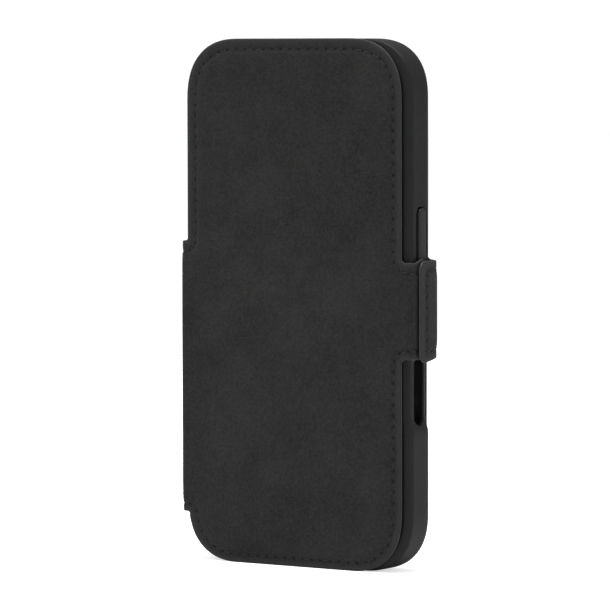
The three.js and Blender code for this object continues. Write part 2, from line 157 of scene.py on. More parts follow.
world = bpy.data.worlds.new("studio")
world.use_nodes = True
world_nodes = world.node_tree.nodes
world_nodes["Background"].inputs["Color"].default_value = (1, 1, 1, 1)
world_nodes["Background"].inputs["Strength"].default_value = STUDIO_GLOW
backdrop = world_nodes.new("ShaderNodeBackground")
backdrop.inputs["Color"].default_value = (1, 1, 1, 1)
backdrop.inputs["Strength"].default_value = BACKDROP_GLOW
seen = world_nodes.new("ShaderNodeLightPath")
mix_world = world_nodes.new("ShaderNodeMixShader")
links = world.node_tree.links
links.new(seen.outputs["Is Camera Ray"], mix_world.inputs[0])
links.new(world_nodes["Background"].outputs[0], mix_world.inputs[1])
links.new(backdrop.outputs[0], mix_world.inputs[2])
links.new(mix_world.outputs[0], world_nodes["World Output"].inputs["Surface"])
bpy.context.scene.world = world
bpy.context.scene.view_settings.view_transform = "Standard"

# %% [markdown]
# ## Shared surface effects
# Brushed leather, moulded plastic and microfibre all have a fine relief and a slow, cloudy change of
# tone. One node group makes both for all of them. It works in millimetres on the object's own
# coordinates, so the grain keeps its real scale on every piece.


# %% The grain group
def link_in(tree, a, b):
    tree.links.new(a, b)


def build_grain():
    group = bpy.data.node_groups.new("surface_grain", "ShaderNodeTree")
    face = group.interface
    for name, value in (("Cloud Size", 9.0), ("Mottle Size", 0.9), ("Grain Size", 0.22)):
        socket = face.new_socket(name, in_out="INPUT", socket_type="NodeSocketFloat")
        socket.default_value = value
    for name in ("Tone", "Grain", "Pores"):
        face.new_socket(name, in_out="OUTPUT", socket_type="NodeSocketFloat")
    nodes = group.nodes
    inlet = nodes.new("NodeGroupInput")
    outlet = nodes.new("NodeGroupOutput")
    place = nodes.new("ShaderNodeTexCoord")

    def scale_of(socket):
        divide = nodes.new("ShaderNodeMath")
        divide.operation = "DIVIDE"
        divide.inputs[0].default_value = 1 / MM
        link_in(group, inlet.outputs[socket], divide.inputs[1])
        return divide.outputs[0]

    def noise_at(socket, detail, roughness):
        texture = nodes.new("ShaderNodeTexNoise")
        texture.inputs["Detail"].default_value = detail
        texture.inputs["Roughness"].default_value = roughness
        link_in(group, place.outputs["Object"], texture.inputs["Vector"])
        link_in(group, scale_of(socket), texture.inputs["Scale"])
        return texture.outputs["Fac"]

    def weigh(a, b, share):
        mix = nodes.new("ShaderNodeMix")
        mix.inputs["Factor"].default_value = share
        link_in(group, a, mix.inputs["A"])
        link_in(group, b, mix.inputs["B"])
        return mix.outputs["Result"]

    clouds = noise_at("Cloud Size", detail=3, roughness=0.55)
    mottle = noise_at("Mottle Size", detail=4, roughness=0.6)
    fine = noise_at("Grain Size", detail=3, roughness=0.6)
    tone = weigh(weigh(clouds, mottle, share=0.6), fine, share=0.4)
    pores = nodes.new("ShaderNodeTexVoronoi")
    pores.feature = "SMOOTH_F1"
    link_in(group, place.outputs["Object"], pores.inputs["Vector"])
    link_in(group, scale_of("Grain Size"), pores.inputs["Scale"])
    link_in(group, tone, outlet.inputs["Tone"])
    link_in(group, weigh(mottle, fine, share=0.7), outlet.inputs["Grain"])
    link_in(group, pores.outputs["Distance"], outlet.inputs["Pores"])
    return group


grain_group = build_grain()

# %% [markdown]
# ## Finishes
# Each finish is its own material. The grain group gives it a slow change of tone, a change of
# roughness and a fine relief. Masks on the mesh say how near a cut edge or a needle hole is. The leather
# is brushed, so it is nearly without gloss and a little lighter at rubbed edges. Its needle holes carry a
# painted shade.

# %% Helpers for finishes
TONE_LOW, TONE_HIGH = 0.4, 0.6
SHEEN_ROUGHNESS = 0.6
PORE_SHARE = 0.4
# painted shade: the near-black colour given to the needle holes, where hardly any light reaches
HOLE_SHADE_COLOUR = (0.001, 0.001, 0.001)


def mapped(tree, value, ends):
    """A value stretched between the ends named, such as From Min or To Max."""
    node = tree.nodes.new("ShaderNodeMapRange")
    for socket, number in ends.items():
        node.inputs[socket].default_value = number
    link_in(tree, value, node.inputs["Value"])
    return node.outputs["Result"]


def mask_of(tree, name):
    mask = tree.nodes.new("ShaderNodeAttribute")
    mask.attribute_name = name
    return mask.outputs["Fac"]


def mix_colours(tree, factor, below, above):
    """One colour laid over another. A colour is a socket or three plain numbers."""
    mix = tree.nodes.new("ShaderNodeMix")
    mix.data_type = "RGBA"
    link_in(tree, factor, mix.inputs["Factor"])
    for socket, colour in (("A", below), ("B", above)):
        if isinstance(colour, tuple):
            mix.inputs[socket].default_value = (*colour, 1)
        else:
            link_in(tree, colour, mix.inputs[socket])
    return mix.outputs["Result"]


def add_relief(tree, grain, shader, strength, distance):
    """The fine relief of a surface: its grain, with pores sunk into it."""
    relief = tree.nodes.new("ShaderNodeMath")
    relief.operation = "MULTIPLY_ADD"
    relief.inputs[1].default_value = PORE_SHARE
    link_in(tree, grain.outputs["Pores"], relief.inputs[0])
    link_in(tree, grain.outputs["Grain"], relief.inputs[2])
    bumps = tree.nodes.new("ShaderNodeBump")
    bumps.inputs["Strength"].default_value = strength
    bumps.inputs["Distance"].default_value = distance * MM
    link_in(tree, relief.outputs[0], bumps.inputs["Height"])
    link_in(tree, bumps.outputs["Normal"], shader.inputs["Normal"])


def finish(name, dark, light, rough, bump, sizes, specular=0.5, sheen=0.0, metallic=0.0, edge=None):
    """A material whose colour runs from dark to light, and whose roughness runs over a range."""
    material = bpy.data.materials.new(name)
    material.use_nodes = True
    tree = material.node_tree
    shader = tree.nodes["Principled BSDF"]
    shader.inputs["Specular IOR Level"].default_value = specular
    shader.inputs["Metallic"].default_value = metallic
    if sheen:
        shader.inputs["Sheen Weight"].default_value = sheen
        shader.inputs["Sheen Roughness"].default_value = SHEEN_ROUGHNESS
    grain = tree.nodes.new("ShaderNodeGroup")
    grain.node_tree = grain_group
    for socket, value in zip(("Cloud Size", "Mottle Size", "Grain Size"), sizes):
        grain.inputs[socket].default_value = value
    tone = mapped(tree, grain.outputs["Tone"], {"From Min": TONE_LOW, "From Max": TONE_HIGH})
    colour = mix_colours(tree, tone, dark, light)
    if edge:
        colour = mix_colours(tree, mask_of(tree, "edge_near"), colour, edge)
        # painted shade in the needle holes, laid over the leather's colour by the hole mask
        colour = mix_colours(tree, mask_of(tree, "hole_shade"), colour, HOLE_SHADE_COLOUR)
    link_in(tree, colour, shader.inputs["Base Color"])
    roughness = mapped(tree, grain.outputs["Grain"], {"To Min": rough[0], "To Max": rough[1]})
    link_in(tree, roughness, shader.inputs["Roughness"])
    add_relief(tree, grain, shader, *bump)
    return material


def grey(value, warmth=0.0):
    return (value * (1 + warmth), value, value * (1 - warmth * 0.5))


LEATHER_SIZES = (14, 1.0, 0.45)
leather = finish("brushed_leather", grey(0.0036), grey(0.0205), (0.7, 0.95), (0.8, 0.16), LEATHER_SIZES,
                 specular=0.25, sheen=0.05, edge=grey(0.026))
edge_paint = finish("leather_edge_paint", grey(0.024), grey(0.034), (0.45, 0.6), (0.2, 0.03), LEATHER_SIZES)
suede = finish("leather_backing", grey(0.014), grey(0.026), (0.88, 0.98), (0.5, 0.08), (7, 0.8, 0.2),
               specular=0.15, sheen=0.1)
thread = finish("sewing_thread", grey(0.012), grey(0.024), (0.55, 0.75), (0.4, 0.04), (3, 0.5, 0.12),
                specular=0.3)
microfibre = finish("microfibre_lining", grey(0.018), grey(0.032), (0.9, 1.0), (0.6, 0.07), (8, 0.7, 0.14),
                    specular=0.1, sheen=0.15)
plastic = finish("soft_touch_moulding", grey(0.0095), grey(0.0118), (0.5, 0.6), (0.1, 0.012), (14, 1.5, 0.11),
                 specular=0.22)
key_plastic = finish("key_moulding", grey(0.0098), grey(0.0125), (0.4, 0.5), (0.1, 0.012), (14, 1.5, 0.11),
                     specular=0.35)
fibre_board = finish("fibre_board", (0.032, 0.029, 0.026), (0.05, 0.046, 0.042), (0.8, 0.95), (0.4, 0.05),
                     (5, 0.6, 0.15), specular=0.2)
thin_foam = finish("thin_foam", grey(0.08), grey(0.11), (0.9, 1.0), (0.8, 0.1), (5, 0.5, 0.3), specular=0.1)
glue_film = finish("glue_film", grey(0.38, 0.03), grey(0.46, 0.03), (0.5, 0.7), (0.2, 0.02), (5, 0.8, 0.3))
bare_steel = finish("bare_steel", grey(0.48), grey(0.56), (0.3, 0.42), (0.15, 0.01), (5, 0.8, 0.12),
                    metallic=1.0)
nickel = finish("nickel_plate", grey(0.55), grey(0.62), (0.2, 0.3), (0.08, 0.01), (5, 0.8, 0.12),
                metallic=1.0)
print("finishes:", len(bpy.data.materials))

# %% [markdown]
# ## The pieces that stay as they are
# The boards, foam, glue film, steel plate and magnets are flat stampings, so their solids already
# have the right shape. They only take a real finish.

# %% Finish the carried-over pieces
CARRIED = {
    "spine_board": fibre_board,
    "cover_board": fibre_board,
    "strap_stiffener": fibre_board,
    "cover_foam": thin_foam,
    "back_bond_sheet": glue_film,
    "tab_steel_plate": bare_steel,
    "strap_magnet_upper": nickel,
    "strap_magnet_lower": nickel,
    "shell_lining": microfibre,
}
for name, material in CARRIED.items():
    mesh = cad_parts[name].data
    mesh.materials.clear()
    mesh.materials.append(material)
print("carried over:", len(CARRIED))

# %% [markdown]
# ## Outlines
# A leather worker cuts each piece flat and then wraps it round. The outlines are drawn in the same
# way: as flat patterns, counter-clockwise, with the leather on the left of the line. The big corners
# are superellipses, which run into the straight sides without a jump.


# %% Outline helpers
CORNER_POWER = 2.4


def corner(x, z, extent, quarter, steps=22):
    a = (quarter + np.linspace(0, 1, steps + 1)) * math.pi / 2
    c, s = np.cos(a), np.sin(a)
    power = 2 / CORNER_POWER
    across, up = np.sign(c) * abs(c) ** power, np.sign(s) * abs(s) ** power
    return np.column_stack([x + extent * across, z + extent * up])


def panel_corners(left, right, bottom, top, extent, steps=22):
    """The four corners of a panel: top right, top left, bottom left and bottom right."""
    places = ((right - extent, top - extent), (left + extent, top - extent),
              (left + extent, bottom + extent), (right - extent, bottom + extent))
    return [corner(x, z, extent, i, steps) for i, (x, z) in enumerate(places)]


def arc(x, z, radius, start, end, steps=8):
    a = np.radians(np.linspace(start, end, steps + 1))
    return np.column_stack([x + radius * np.cos(a), z + radius * np.sin(a)])


def tidy_line(points):
    """Drops points that repeat the one before."""
    keep = [0]
    for i in range(1, len(points)):
        if np.linalg.norm(points[i] - points[keep[-1]]) > 0.01:
            keep.append(i)
    return np.asarray(points)[keep]


def subdivide(points, spacing):
    """An open line with no stretch longer than spacing."""
    out = []
    for a, b in zip(points[:-1], points[1:]):
        steps = max(1, math.ceil(np.linalg.norm(b - a) / spacing))
        out.extend(a + (b - a) * k / steps for k in range(steps))
    out.append(points[-1])
    return np.array(out)


def resample(points, spacing):
    """The same line in equal steps, as near to spacing as fits."""
    lengths = np.concatenate([[0], np.cumsum(np.linalg.norm(np.diff(points, axis=0), axis=1))])
    steps = max(2, round(lengths[-1] / spacing))
    at = np.linspace(0, lengths[-1], steps + 1)
    return np.column_stack([np.interp(at, lengths, points[:, i]) for i in (0, 1)])


# %% Distances, worked out a batch of points at a time
BATCH = 1500


def distance_to(points, line):
    """How far each point is from an open line."""
    a, d = line[:-1], np.diff(line, axis=0)
    size = (d**2).sum(1)
    best = np.empty(len(points))
    for start in range(0, len(points), BATCH):
        p = points[start:start + BATCH, None]
        t = np.clip(((p - a) * d).sum(2) / size, 0, 1)
        best[start:start + BATCH] = np.sqrt(((p - a - t[..., None] * d) ** 2).sum(2)).min(1)
    return best


def inside(points, loop):
    """Whether each point lies inside a closed loop, by counting the sides that it sees to its right."""
    result = np.empty(len(points), bool)
    a, b = loop, np.roll(loop, -1, 0)
    slope = (b[:, 0] - a[:, 0]) / np.where(b[:, 1] == a[:, 1], 1e-9, b[:, 1] - a[:, 1])
    for start in range(0, len(points), BATCH):
        p = points[start:start + BATCH]
        x, y = p[:, :1], p[:, 1:]
        crossed = ((a[:, 1] > y) != (b[:, 1] > y)) & (x < slope * (y - a[:, 1]) + a[:, 0])
        result[start:start + BATCH] = crossed.sum(1) % 2 == 1
    return result


def inset_line(edge, distance, spacing, shift=(0, 0)):
    """The line that runs inside an edge at a constant distance."""
    along = np.gradient(edge, axis=0)
    along /= np.linalg.norm(along, axis=1)[:, None]
    moved = edge + distance * np.column_stack([-along[:, 1], along[:, 0]])
    kept = moved[distance_to(moved, edge) > 0.985 * distance]
    return resample(tidy_line(kept), spacing) + np.array(shift)


def smooth_step(value, low, high):
    t = np.clip((value - low) / (high - low), 0, 1)
    return t * t * (3 - 2 * t)


# %% [markdown]
# ## Wrapping a flat pattern
# The pattern is flat in the middle and turns by a quarter at a fold. `fold` gives, for a place on
# the pattern and a depth below its outer face, how far along and how far in that point ends up. The
# length along the outer face never changes, as with real leather.


# %% Folding
def fold(along, depth, start, radius):
    past = np.maximum(along - start, 0)
    angle = np.minimum(past / radius, math.pi / 2)
    rest = np.maximum(past - radius * math.pi / 2, 0)
    out = np.where(past > 0, start + (radius - depth) * np.sin(angle), along)
    deep = radius - (radius - depth) * np.cos(angle) + rest
    return out, deep


SPINE_RADIUS = 1.2
TAB_RADIUS = 2.4
STRAP_RADIUS = 4.8
FOLD_LEFT = -(SPINE_OUT + SPINE_RADIUS)
FOLD_TAB = TAB_OUT - TAB_RADIUS
FOLD_STRAP = STRAP_OUT - STRAP_RADIUS


def wrap(points, depth, face, inward, fold_right, radius_right):
    """Places a pattern that folds at the spine on its left, and at the tab or the strap on its right."""
    s, z = points[:, 0], points[:, 1]
    left, left_deep = fold(-s, depth, FOLD_LEFT, SPINE_RADIUS)
    right, right_deep = fold(s, depth, fold_right, radius_right)
    x = np.where(s < 0, -left, right)
    deep = np.where(s < 0, left_deep, right_deep)
    return np.column_stack([x, face + inward * deep, z])


def wrap_front(points, depth):
    return wrap(points, depth, FRONT, 1, FOLD_TAB, TAB_RADIUS)


def wrap_back(points, depth):
    return wrap(points, depth, BACK, -1, FOLD_STRAP, STRAP_RADIUS)


# the middle of the spine, where the front leather meets the back leather
SEAM = -(FOLD_LEFT + SPINE_RADIUS * math.pi / 2 + (BACK - FRONT) / 2 - SPINE_RADIUS)
print(f"the pattern reaches {-SEAM:.1f} mm to the middle of the spine")

# %% [markdown]
# ## Building a sheet
# A sheet is closed: an outer face, an inner face and a rounded rim between them. Both faces are filled
# with triangles from points that crowd together where the relief needs them, at edges, seams and folds.


# %% Sheet builder
def new_piece(name, points_mm, faces, materials, material_index=None):
    mesh = bpy.data.meshes.new(name)
    mesh.from_pydata((np.asarray(points_mm) * MM).tolist(), [], faces)
    for material in materials:
        mesh.materials.append(material)
    if material_index is not None:
        mesh.polygons.foreach_set("material_index", np.asarray(material_index, np.int32))
    tidy = bmesh.new()
    tidy.from_mesh(mesh)
    bmesh.ops.recalc_face_normals(tidy, faces=tidy.faces)
    tidy.to_mesh(mesh)
    tidy.free()
    mesh.polygons.foreach_set("use_smooth", [True] * len(mesh.polygons))
    piece = bpy.data.objects.new(name, mesh)
    bpy.context.scene.collection.objects.link(piece)
    return piece


def between_rings(count, rings, closed=False):
    """Four-sided faces between rings of count points, and from the last ring to the first if closed."""
    faces = []
    for k in range(rings if closed else rings - 1):
        a, b = k * count, (k + 1) % rings * count
        for i in range(count):
            j = (i + 1) % count
            faces.append((a + i, a + j, b + j, b + i))
    return faces


def ring_ends(count, rings):
    """The two faces that close a row of rings at its ends."""
    return [tuple(range(count)), tuple((rings - 1) * count + i for i in range(count))]


RIM_CLEARANCE = 0.04
SLIVER = 2e-6


def triangulate(loops, fill):
    """Triangles inside the first loop and outside the others, through all the points."""
    for loop in loops:
        fill = fill[distance_to(fill, np.vstack([loop, loop[:1]])) > RIM_CLEARANCE]
    whole = np.vstack(loops)
    counts = np.cumsum([0] + [len(loop) for loop in loops])
    rims = [list(range(a, b)) for a, b in zip(counts[:-1], counts[1:])]
    edges = [pair for rim in rims for pair in zip(rim, rim[1:] + rim[:1])]
    coords = [Vector(p) for p in np.vstack([whole, fill])]
    found = delaunay_2d_cdt(coords, edges, [], 1, 1e-7, True)
    points = np.array([(v.x, v.y) for v in found[0]])
    corners = points[np.array(found[2])]
    sides = corners[:, 1:] - corners[:, :1]
    thin = np.abs(sides[:, 0, 0] * sides[:, 1, 1] - sides[:, 0, 1] * sides[:, 1, 0]) < SLIVER
    middles = corners.mean(1)
    kept = inside(middles, loops[0]) & ~thin
    for window in loops[1:]:
        kept &= ~inside(middles, window)
    place = {k: i for i, sources in enumerate(found[3]) for k in sources}
    rim = {frozenset((place[a], place[b])) for a, b in edges}
    around = [[frozenset(pair) for pair in zip(f, f[1:] + f[:1])] for f in (list(f) for f in found[2])]
    used = Counter(edge for i in np.flatnonzero(kept) for edge in around[i])
    # a flat sliver belongs to the sheet only if it closes a gap between two other triangles
    for _ in range(4):
        for i in np.flatnonzero(thin & ~kept):
            if any(used[edge] == 1 and edge not in rim for edge in around[i]):
                kept[i] = True
                used.update(around[i])
    triangles = [tuple(f) for f, k in zip(found[2], kept) if k]
    return points, triangles, [[place[k] for k in line] for line in rims]


RIM_STEPS = 4


def sheet_piece(name, loops, place, outer, inner, fills, materials, bulge=0.08, flat_rim=None, near=None,
                holes=None):
    """A closed sheet with the leather on the left of every loop: its outline and any windows.

    outer and inner give the depth of its two faces, and bulge rounds its rims.
    """
    top, top_faces, top_rims = triangulate(loops, fills[0])
    low, low_faces, low_rims = triangulate(loops, fills[1])
    top_depth, low_depth = outer(top), inner(low)
    parts = [place(top, top_depth), place(low, low_depth)]
    faces = list(top_faces) + [tuple(i + len(top) for i in f[::-1]) for f in low_faces]
    slots = [0] * len(top_faces) + [2] * len(low_faces)
    count = len(top) + len(low)
    for number, (loop, top_rim, low_rim) in enumerate(zip(loops, top_rims, low_rims)):
        along = np.roll(loop, -1, 0) - np.roll(loop, 1, 0)
        away = np.column_stack([along[:, 1], -along[:, 0]])
        away /= np.linalg.norm(away, axis=1)[:, None]
        if number == 0 and flat_rim is not None:
            away[flat_rim] = 0
        rows = [np.array(top_rim)]
        for k in range(1, RIM_STEPS):
            t = k / RIM_STEPS
            depth = top_depth[top_rim] * (1 - t) + low_depth[low_rim] * t
            parts.append(place(loop + away * bulge * math.sin(math.pi * t), depth))
            rows.append(np.arange(count, count + len(loop)))
            count += len(loop)
        rows.append(np.array(low_rim) + len(top))
        for a, b in zip(rows[:-1], rows[1:]):
            for i in range(len(loop)):
                j = (i + 1) % len(loop)
                faces.append((a[j], a[i], b[i], b[j]))
                slots.append(1)
    piece = new_piece(name, np.vstack(parts), faces, materials, slots)
    # the second mask carries the painted shade of the needle holes
    for mask, value in (("edge_near", near), ("hole_shade", holes)):
        shade = np.zeros(count)
        if value is not None:
            shade[:len(top)] = value(top)
        attribute = piece.data.attributes.new(mask, "FLOAT", "POINT")
        attribute.data.foreach_set("value", shade.astype(np.float32))
    return piece


# %% Fill points
def grid(left, right, bottom, top, step_s, step_z):
    """Rows of points, every other row shifted by half a step."""
    s = np.arange(left, right, step_s)
    rows = []
    for i, z in enumerate(np.arange(bottom, top, step_z)):
        rows.append(np.column_stack([s + (i % 2) * step_s / 2, np.full(len(s), z)]))
    return np.vstack(rows)


def hole_points(holes):
    """A centre and three rings round each needle hole."""
    points = [holes]
    for radius in (0.14, 0.28, 0.46):
        for k in range(8):
            a = math.pi * k / 4
            points.append(holes + radius * np.array([math.cos(a), math.sin(a)]))
    return np.vstack(points)


def clear_of(points, others, gap):
    """The points that lie at least gap from all the others."""
    keep = np.ones(len(points), bool)
    for start in range(0, len(points), BATCH):
        p = points[start:start + BATCH, None]
        keep[start:start + BATCH] = (((p - others) ** 2).sum(2) > gap * gap).all(1)
    return points[keep]


# %% [markdown]
# ## Stitches
# A lockstitch shows one short length of twisted thread between each pair of needle holes. Each length
# rises out of one hole and dives into the next, and lies a few degrees off the seam's line.


# %% Stitch builder
THREAD = 0.21
THREAD_TWIST = 0.14
THREAD_FLATNESS = 0.8
DIVE = 0.34
LONGEST_STITCH = 1.6
STITCH_PITCH = 3.15
STITCH_SLANT = math.radians(5)


def stitch_piece(name, seams, place, surface, rise=0.07, shrink=0.68):
    """One mesh of thread for rows of needle holes. surface gives the depth of the face at any place."""
    stations, around = 11, 8
    bands = between_rings(around, stations) + ring_ends(around, stations)
    turn = np.array([[math.cos(STITCH_SLANT), -math.sin(STITCH_SLANT)],
                     [math.sin(STITCH_SLANT), math.cos(STITCH_SLANT)]])
    points, faces = [], []
    for holes in seams:
        for a, b in zip(holes[:-1], holes[1:]):
            middle, along = (a + b) / 2, b - a
            length = np.linalg.norm(along)
            if length > LONGEST_STITCH * STITCH_PITCH:
                continue
            along = turn @ (along / length)
            across = np.array([-along[1], along[0]])
            base = sum(len(p) for p in points)
            ring_points, ring_depths = [], []
            for i in range(stations):
                t = i / (stations - 1)
                height = rise * math.sin(math.pi * t) ** 0.5 - DIVE * abs(2 * t - 1) ** 8
                fat = THREAD * (0.8 + 0.2 * math.sin(math.pi * t))
                centre = middle + along * (t - 0.5) * length * shrink
                for k in range(around):
                    phi = 2 * math.pi * k / around
                    r = fat * (1 + THREAD_TWIST * math.cos(2 * (phi - 5 * t)))
                    ring_points.append(centre + across * r * math.cos(phi))
                    ring_depths.append(-height - THREAD_FLATNESS * r * math.sin(phi))
            ring_points = np.array(ring_points)
            depth = surface(np.repeat([middle], len(ring_points), 0)) + np.array(ring_depths)
            points.append(place(ring_points, depth))
            faces += [tuple(base + i for i in band) for band in bands]
    return new_piece(name, np.vstack(points), faces, [thread])

# %% [markdown]
# ## The front leather
# One piece of leather covers the front, folds round the spine on the left and carries the closure tab
# on the right. It is padded with thin foam inside the seam and pressed flat outside it, so the
# panel stands a little proud of its border. The seam keeps one distance from the edge all the way,
# out along the tab and round the spine.

# %% Outline of the front leather
NOTCH = 0.8
TAB_FILLET = 1.6
TAB_CORNER = 2.0
TAB_END = FOLD_TAB + TAB_RADIUS * math.pi / 2 + high_of("cover_leather", "y") - FRONT - TAB_RADIUS


def front_outline():
    right_top, left_top, left_low, right_low = panel_corners(COVER_LEFT, COVER_RIGHT, 0, HEIGHT, COVER_CORNER)
    turn = left_low[left_low[:, 1] < SPINE_LOW - NOTCH]
    side = turn[0][0]
    fillet = COVER_RIGHT + TAB_FILLET
    straight = FOLD_TAB + TAB_RADIUS * math.pi / 2
    line = np.vstack([
        [[SEAM, SPINE_LOW]],
        arc(side - NOTCH, SPINE_LOW - NOTCH, NOTCH, 90, 0),
        turn,
        right_low,
        arc(fillet, TAB_LOW - TAB_FILLET, TAB_FILLET, 180, 90),
        arc(TAB_END - TAB_CORNER, TAB_LOW + TAB_CORNER, TAB_CORNER, -90, 0),
        arc(TAB_END - TAB_CORNER, TAB_HIGH + TAB_FLARE - TAB_CORNER, TAB_CORNER, 0, 90),
        [[straight, TAB_HIGH]],
        arc(fillet, TAB_HIGH + TAB_FILLET, TAB_FILLET, 270, 180),
        right_top,
        left_top,
        arc(COVER_LEFT - NOTCH, SPINE_HIGH + NOTCH, NOTCH, 0, -90),
        [[SEAM, SPINE_HIGH]],
    ])
    return tidy_line(line)


front_edge = subdivide(front_outline(), 0.7)
front_seam_line = subdivide(np.array([[SEAM, SPINE_HIGH], [SEAM, SPINE_LOW]]), 0.9)[1:-1]
front_loop = np.vstack([front_edge, front_seam_line])
print("front edge points:", len(front_edge))

# %% Relief of the front leather
STITCH_INSET = 2.8
SEAM_SHIFT = np.array([0.37, -0.37])
front_holes = inset_line(front_edge, STITCH_INSET, STITCH_PITCH, SEAM_SHIFT)


def edge_round(distance, radius):
    t = np.clip(1 - distance / radius, 0, 1)
    return radius * (1 - np.sqrt(1 - t * t))


def waves(points, size, height):
    """A slow, shallow unevenness, as glued leather has."""
    return np.array([height * noise.noise((p[0] / size, p[1] / size, 3.7)) for p in points])


def seam_relief(points, edge, border, groove=0.12, slope=1.0, shift=SEAM_SHIFT):
    """A border pressed in below the panel, and a shallow furrow along the seam."""
    sewn = distance_to(points - shift, edge) - STITCH_INSET
    rise = 1 - np.exp(-np.maximum(sewn, 0) / slope)
    return border * (1 - rise) + groove * np.exp(-(sewn / 0.5) ** 2)


HOLE_DEPTH = 0.24
HOLE_WIDTH = 0.22
HOLE_REACH = 4
HOLE_DARKNESS = 3


def hole_relief(points, holes):
    depth = np.zeros(len(points))
    near = distance_to(points, holes) < HOLE_REACH
    for i in np.flatnonzero(near):
        gap = np.sqrt(((holes - points[i]) ** 2).sum(1)).min()
        depth[i] = HOLE_DEPTH * math.exp(-(gap / HOLE_WIDTH) ** 2)
    return depth


def hole_mask(holes):
    """Darkest in the needle holes, where hardly any light reaches."""
    return lambda points: np.minimum(hole_relief(points, holes) / HOLE_DEPTH * HOLE_DARKNESS, 1) ** 0.5


BORDER_DEPTH = 0.44
BORDER_EASE = 0.28


def front_border(points):
    """How deep the border is pressed: most on the cover, and less on the tab and round the spine."""
    s = points[:, 0]
    on_tab = smooth_step(s, COVER_RIGHT - 1, FOLD_TAB + 1)
    on_spine = smooth_step(-s, FOLD_LEFT - 1.5, FOLD_LEFT + 2)
    return BORDER_DEPTH - BORDER_EASE * (on_tab + on_spine)


def front_surface(points):
    return seam_relief(points, front_edge, front_border(points)) + waves(points, 13, 0.035)


def front_outer(points):
    rounding = edge_round(distance_to(points, front_edge), 0.3)
    return front_surface(points) + hole_relief(points, front_holes) + rounding


def front_inner(points):
    edge = distance_to(points, front_edge)
    s = points[:, 0]
    cover = LEATHER + 0.38 * (1 - smooth_step(edge, 0.85, 1.15))
    tab = SKIVED + 0.26 * (1 - smooth_step(edge, 1.6, 2.4))
    spine = np.full(len(points), LEATHER)
    on_tab = smooth_step(s, COVER_RIGHT - 1.2, COVER_RIGHT + 0.6)
    on_spine = smooth_step(-s, -COVER_LEFT - 0.8, -COVER_LEFT + 0.4)
    return cover * (1 - on_tab - on_spine) + tab * on_tab + spine * on_spine


def edge_mask(edge, width=1.3):
    return lambda points: 0.85 * np.exp(-(distance_to(points, edge) / width) ** 2)


# %% Make the front leather
RINGS = (0.14, 0.3, 0.55, 1.0)
SEWN_RINGS = (1.75, 2.2, 2.5, 2.8, 3.1, 3.5, 4.0, 4.6, 5.4, 6.4, 7.8, 9.4)


def relief_points(edge, loop, holes, columns, panel, shift=SEAM_SHIFT):
    """Fill points for a sewn face: lines along its edge and seam, needle holes, folds and a panel grid."""
    lines = [inset_line(edge, d, 0.8) for d in RINGS]
    lines += [inset_line(edge, d, 0.75, shift) for d in SEWN_RINGS]
    near_seam = np.vstack(lines)
    folds = np.vstack([grid(*c) for c in columns]) if columns else np.empty((0, 2))
    if len(folds):
        folds = folds[distance_to(folds, edge) > 0.25]
        near_seam = clear_of(near_seam, folds, 0.22)
    middle = grid(*panel)
    middle = middle[distance_to(middle - shift, edge) > 10]
    if len(folds):
        middle = clear_of(middle, folds, 0.8)
    points = np.vstack([near_seam, folds, middle])
    points = clear_of(points, holes, 0.58)
    points = np.vstack([points, hole_points(holes)])
    points = points[inside(points, loop)]
    return clear_of(points, loop, 0.1)


def plain_points(edge, loop, columns, panel, distances=(0.5, 0.85, 1.15, 1.6, 2.4)):
    lines = [inset_line(edge, d, 1.2) for d in distances]
    points = np.vstack(lines + [grid(*c) for c in columns] + [grid(*panel)])
    points = np.unique(np.round(points, 3), axis=0)
    points = points[inside(points, loop)]
    return clear_of(points, loop, 0.15)


cover_panel = (SEAM, TAB_END, 0, HEIGHT, 1.7, 1.5)
spine_columns = (SEAM + 0.3, -FOLD_LEFT + 1.2, SPINE_LOW, SPINE_HIGH, 0.34, 1.3)
tab_columns = (FOLD_TAB - 0.8, TAB_END, TAB_LOW, TAB_HIGH + TAB_FLARE, 0.42, 1.0)
on_front_seam = np.arange(len(front_loop)) >= len(front_edge)

front_leather = sheet_piece(
    "front_leather", [front_loop], wrap_front, front_outer, front_inner,
    (relief_points(front_edge, front_loop, front_holes, (spine_columns, tab_columns), cover_panel),
     plain_points(front_edge, front_loop, (spine_columns, tab_columns),
                  (SEAM, TAB_END, 0, HEIGHT, 2.6, 2.3))),
    (leather, edge_paint, suede), flat_rim=on_front_seam, near=edge_mask(front_edge),
    holes=hole_mask(front_holes))
front_stitches = stitch_piece("front_stitches", [front_holes], wrap_front, front_surface)
print("front leather:", len(front_leather.data.polygons), "faces,", len(front_holes), "needle holes")

# %% [markdown]
# ## The back leather and the strap
# The back is cut in the same way: a panel bonded to the tray, a tongue that folds round the spine to
# meet the front leather, and the strap that folds round the other side. The strap turns on its own
# fold, so it is a piece of its own, but both pieces follow one shared relief and meet without a step.

# %% Outline of the back leather
BACK_INSET = SHELL_SIDE - (BOND_RIGHT - SHELL_MIDDLE) - 1.0
STRAP_CORNER = 2.7
STRAP_FILLET = 2.2
STRAP_REAR_LOW = STRAP_LOW + 1.57
STRAP_END = FOLD_STRAP + STRAP_RADIUS * math.pi / 2 + BACK - STRAP_RADIUS - STRAP_FRONT


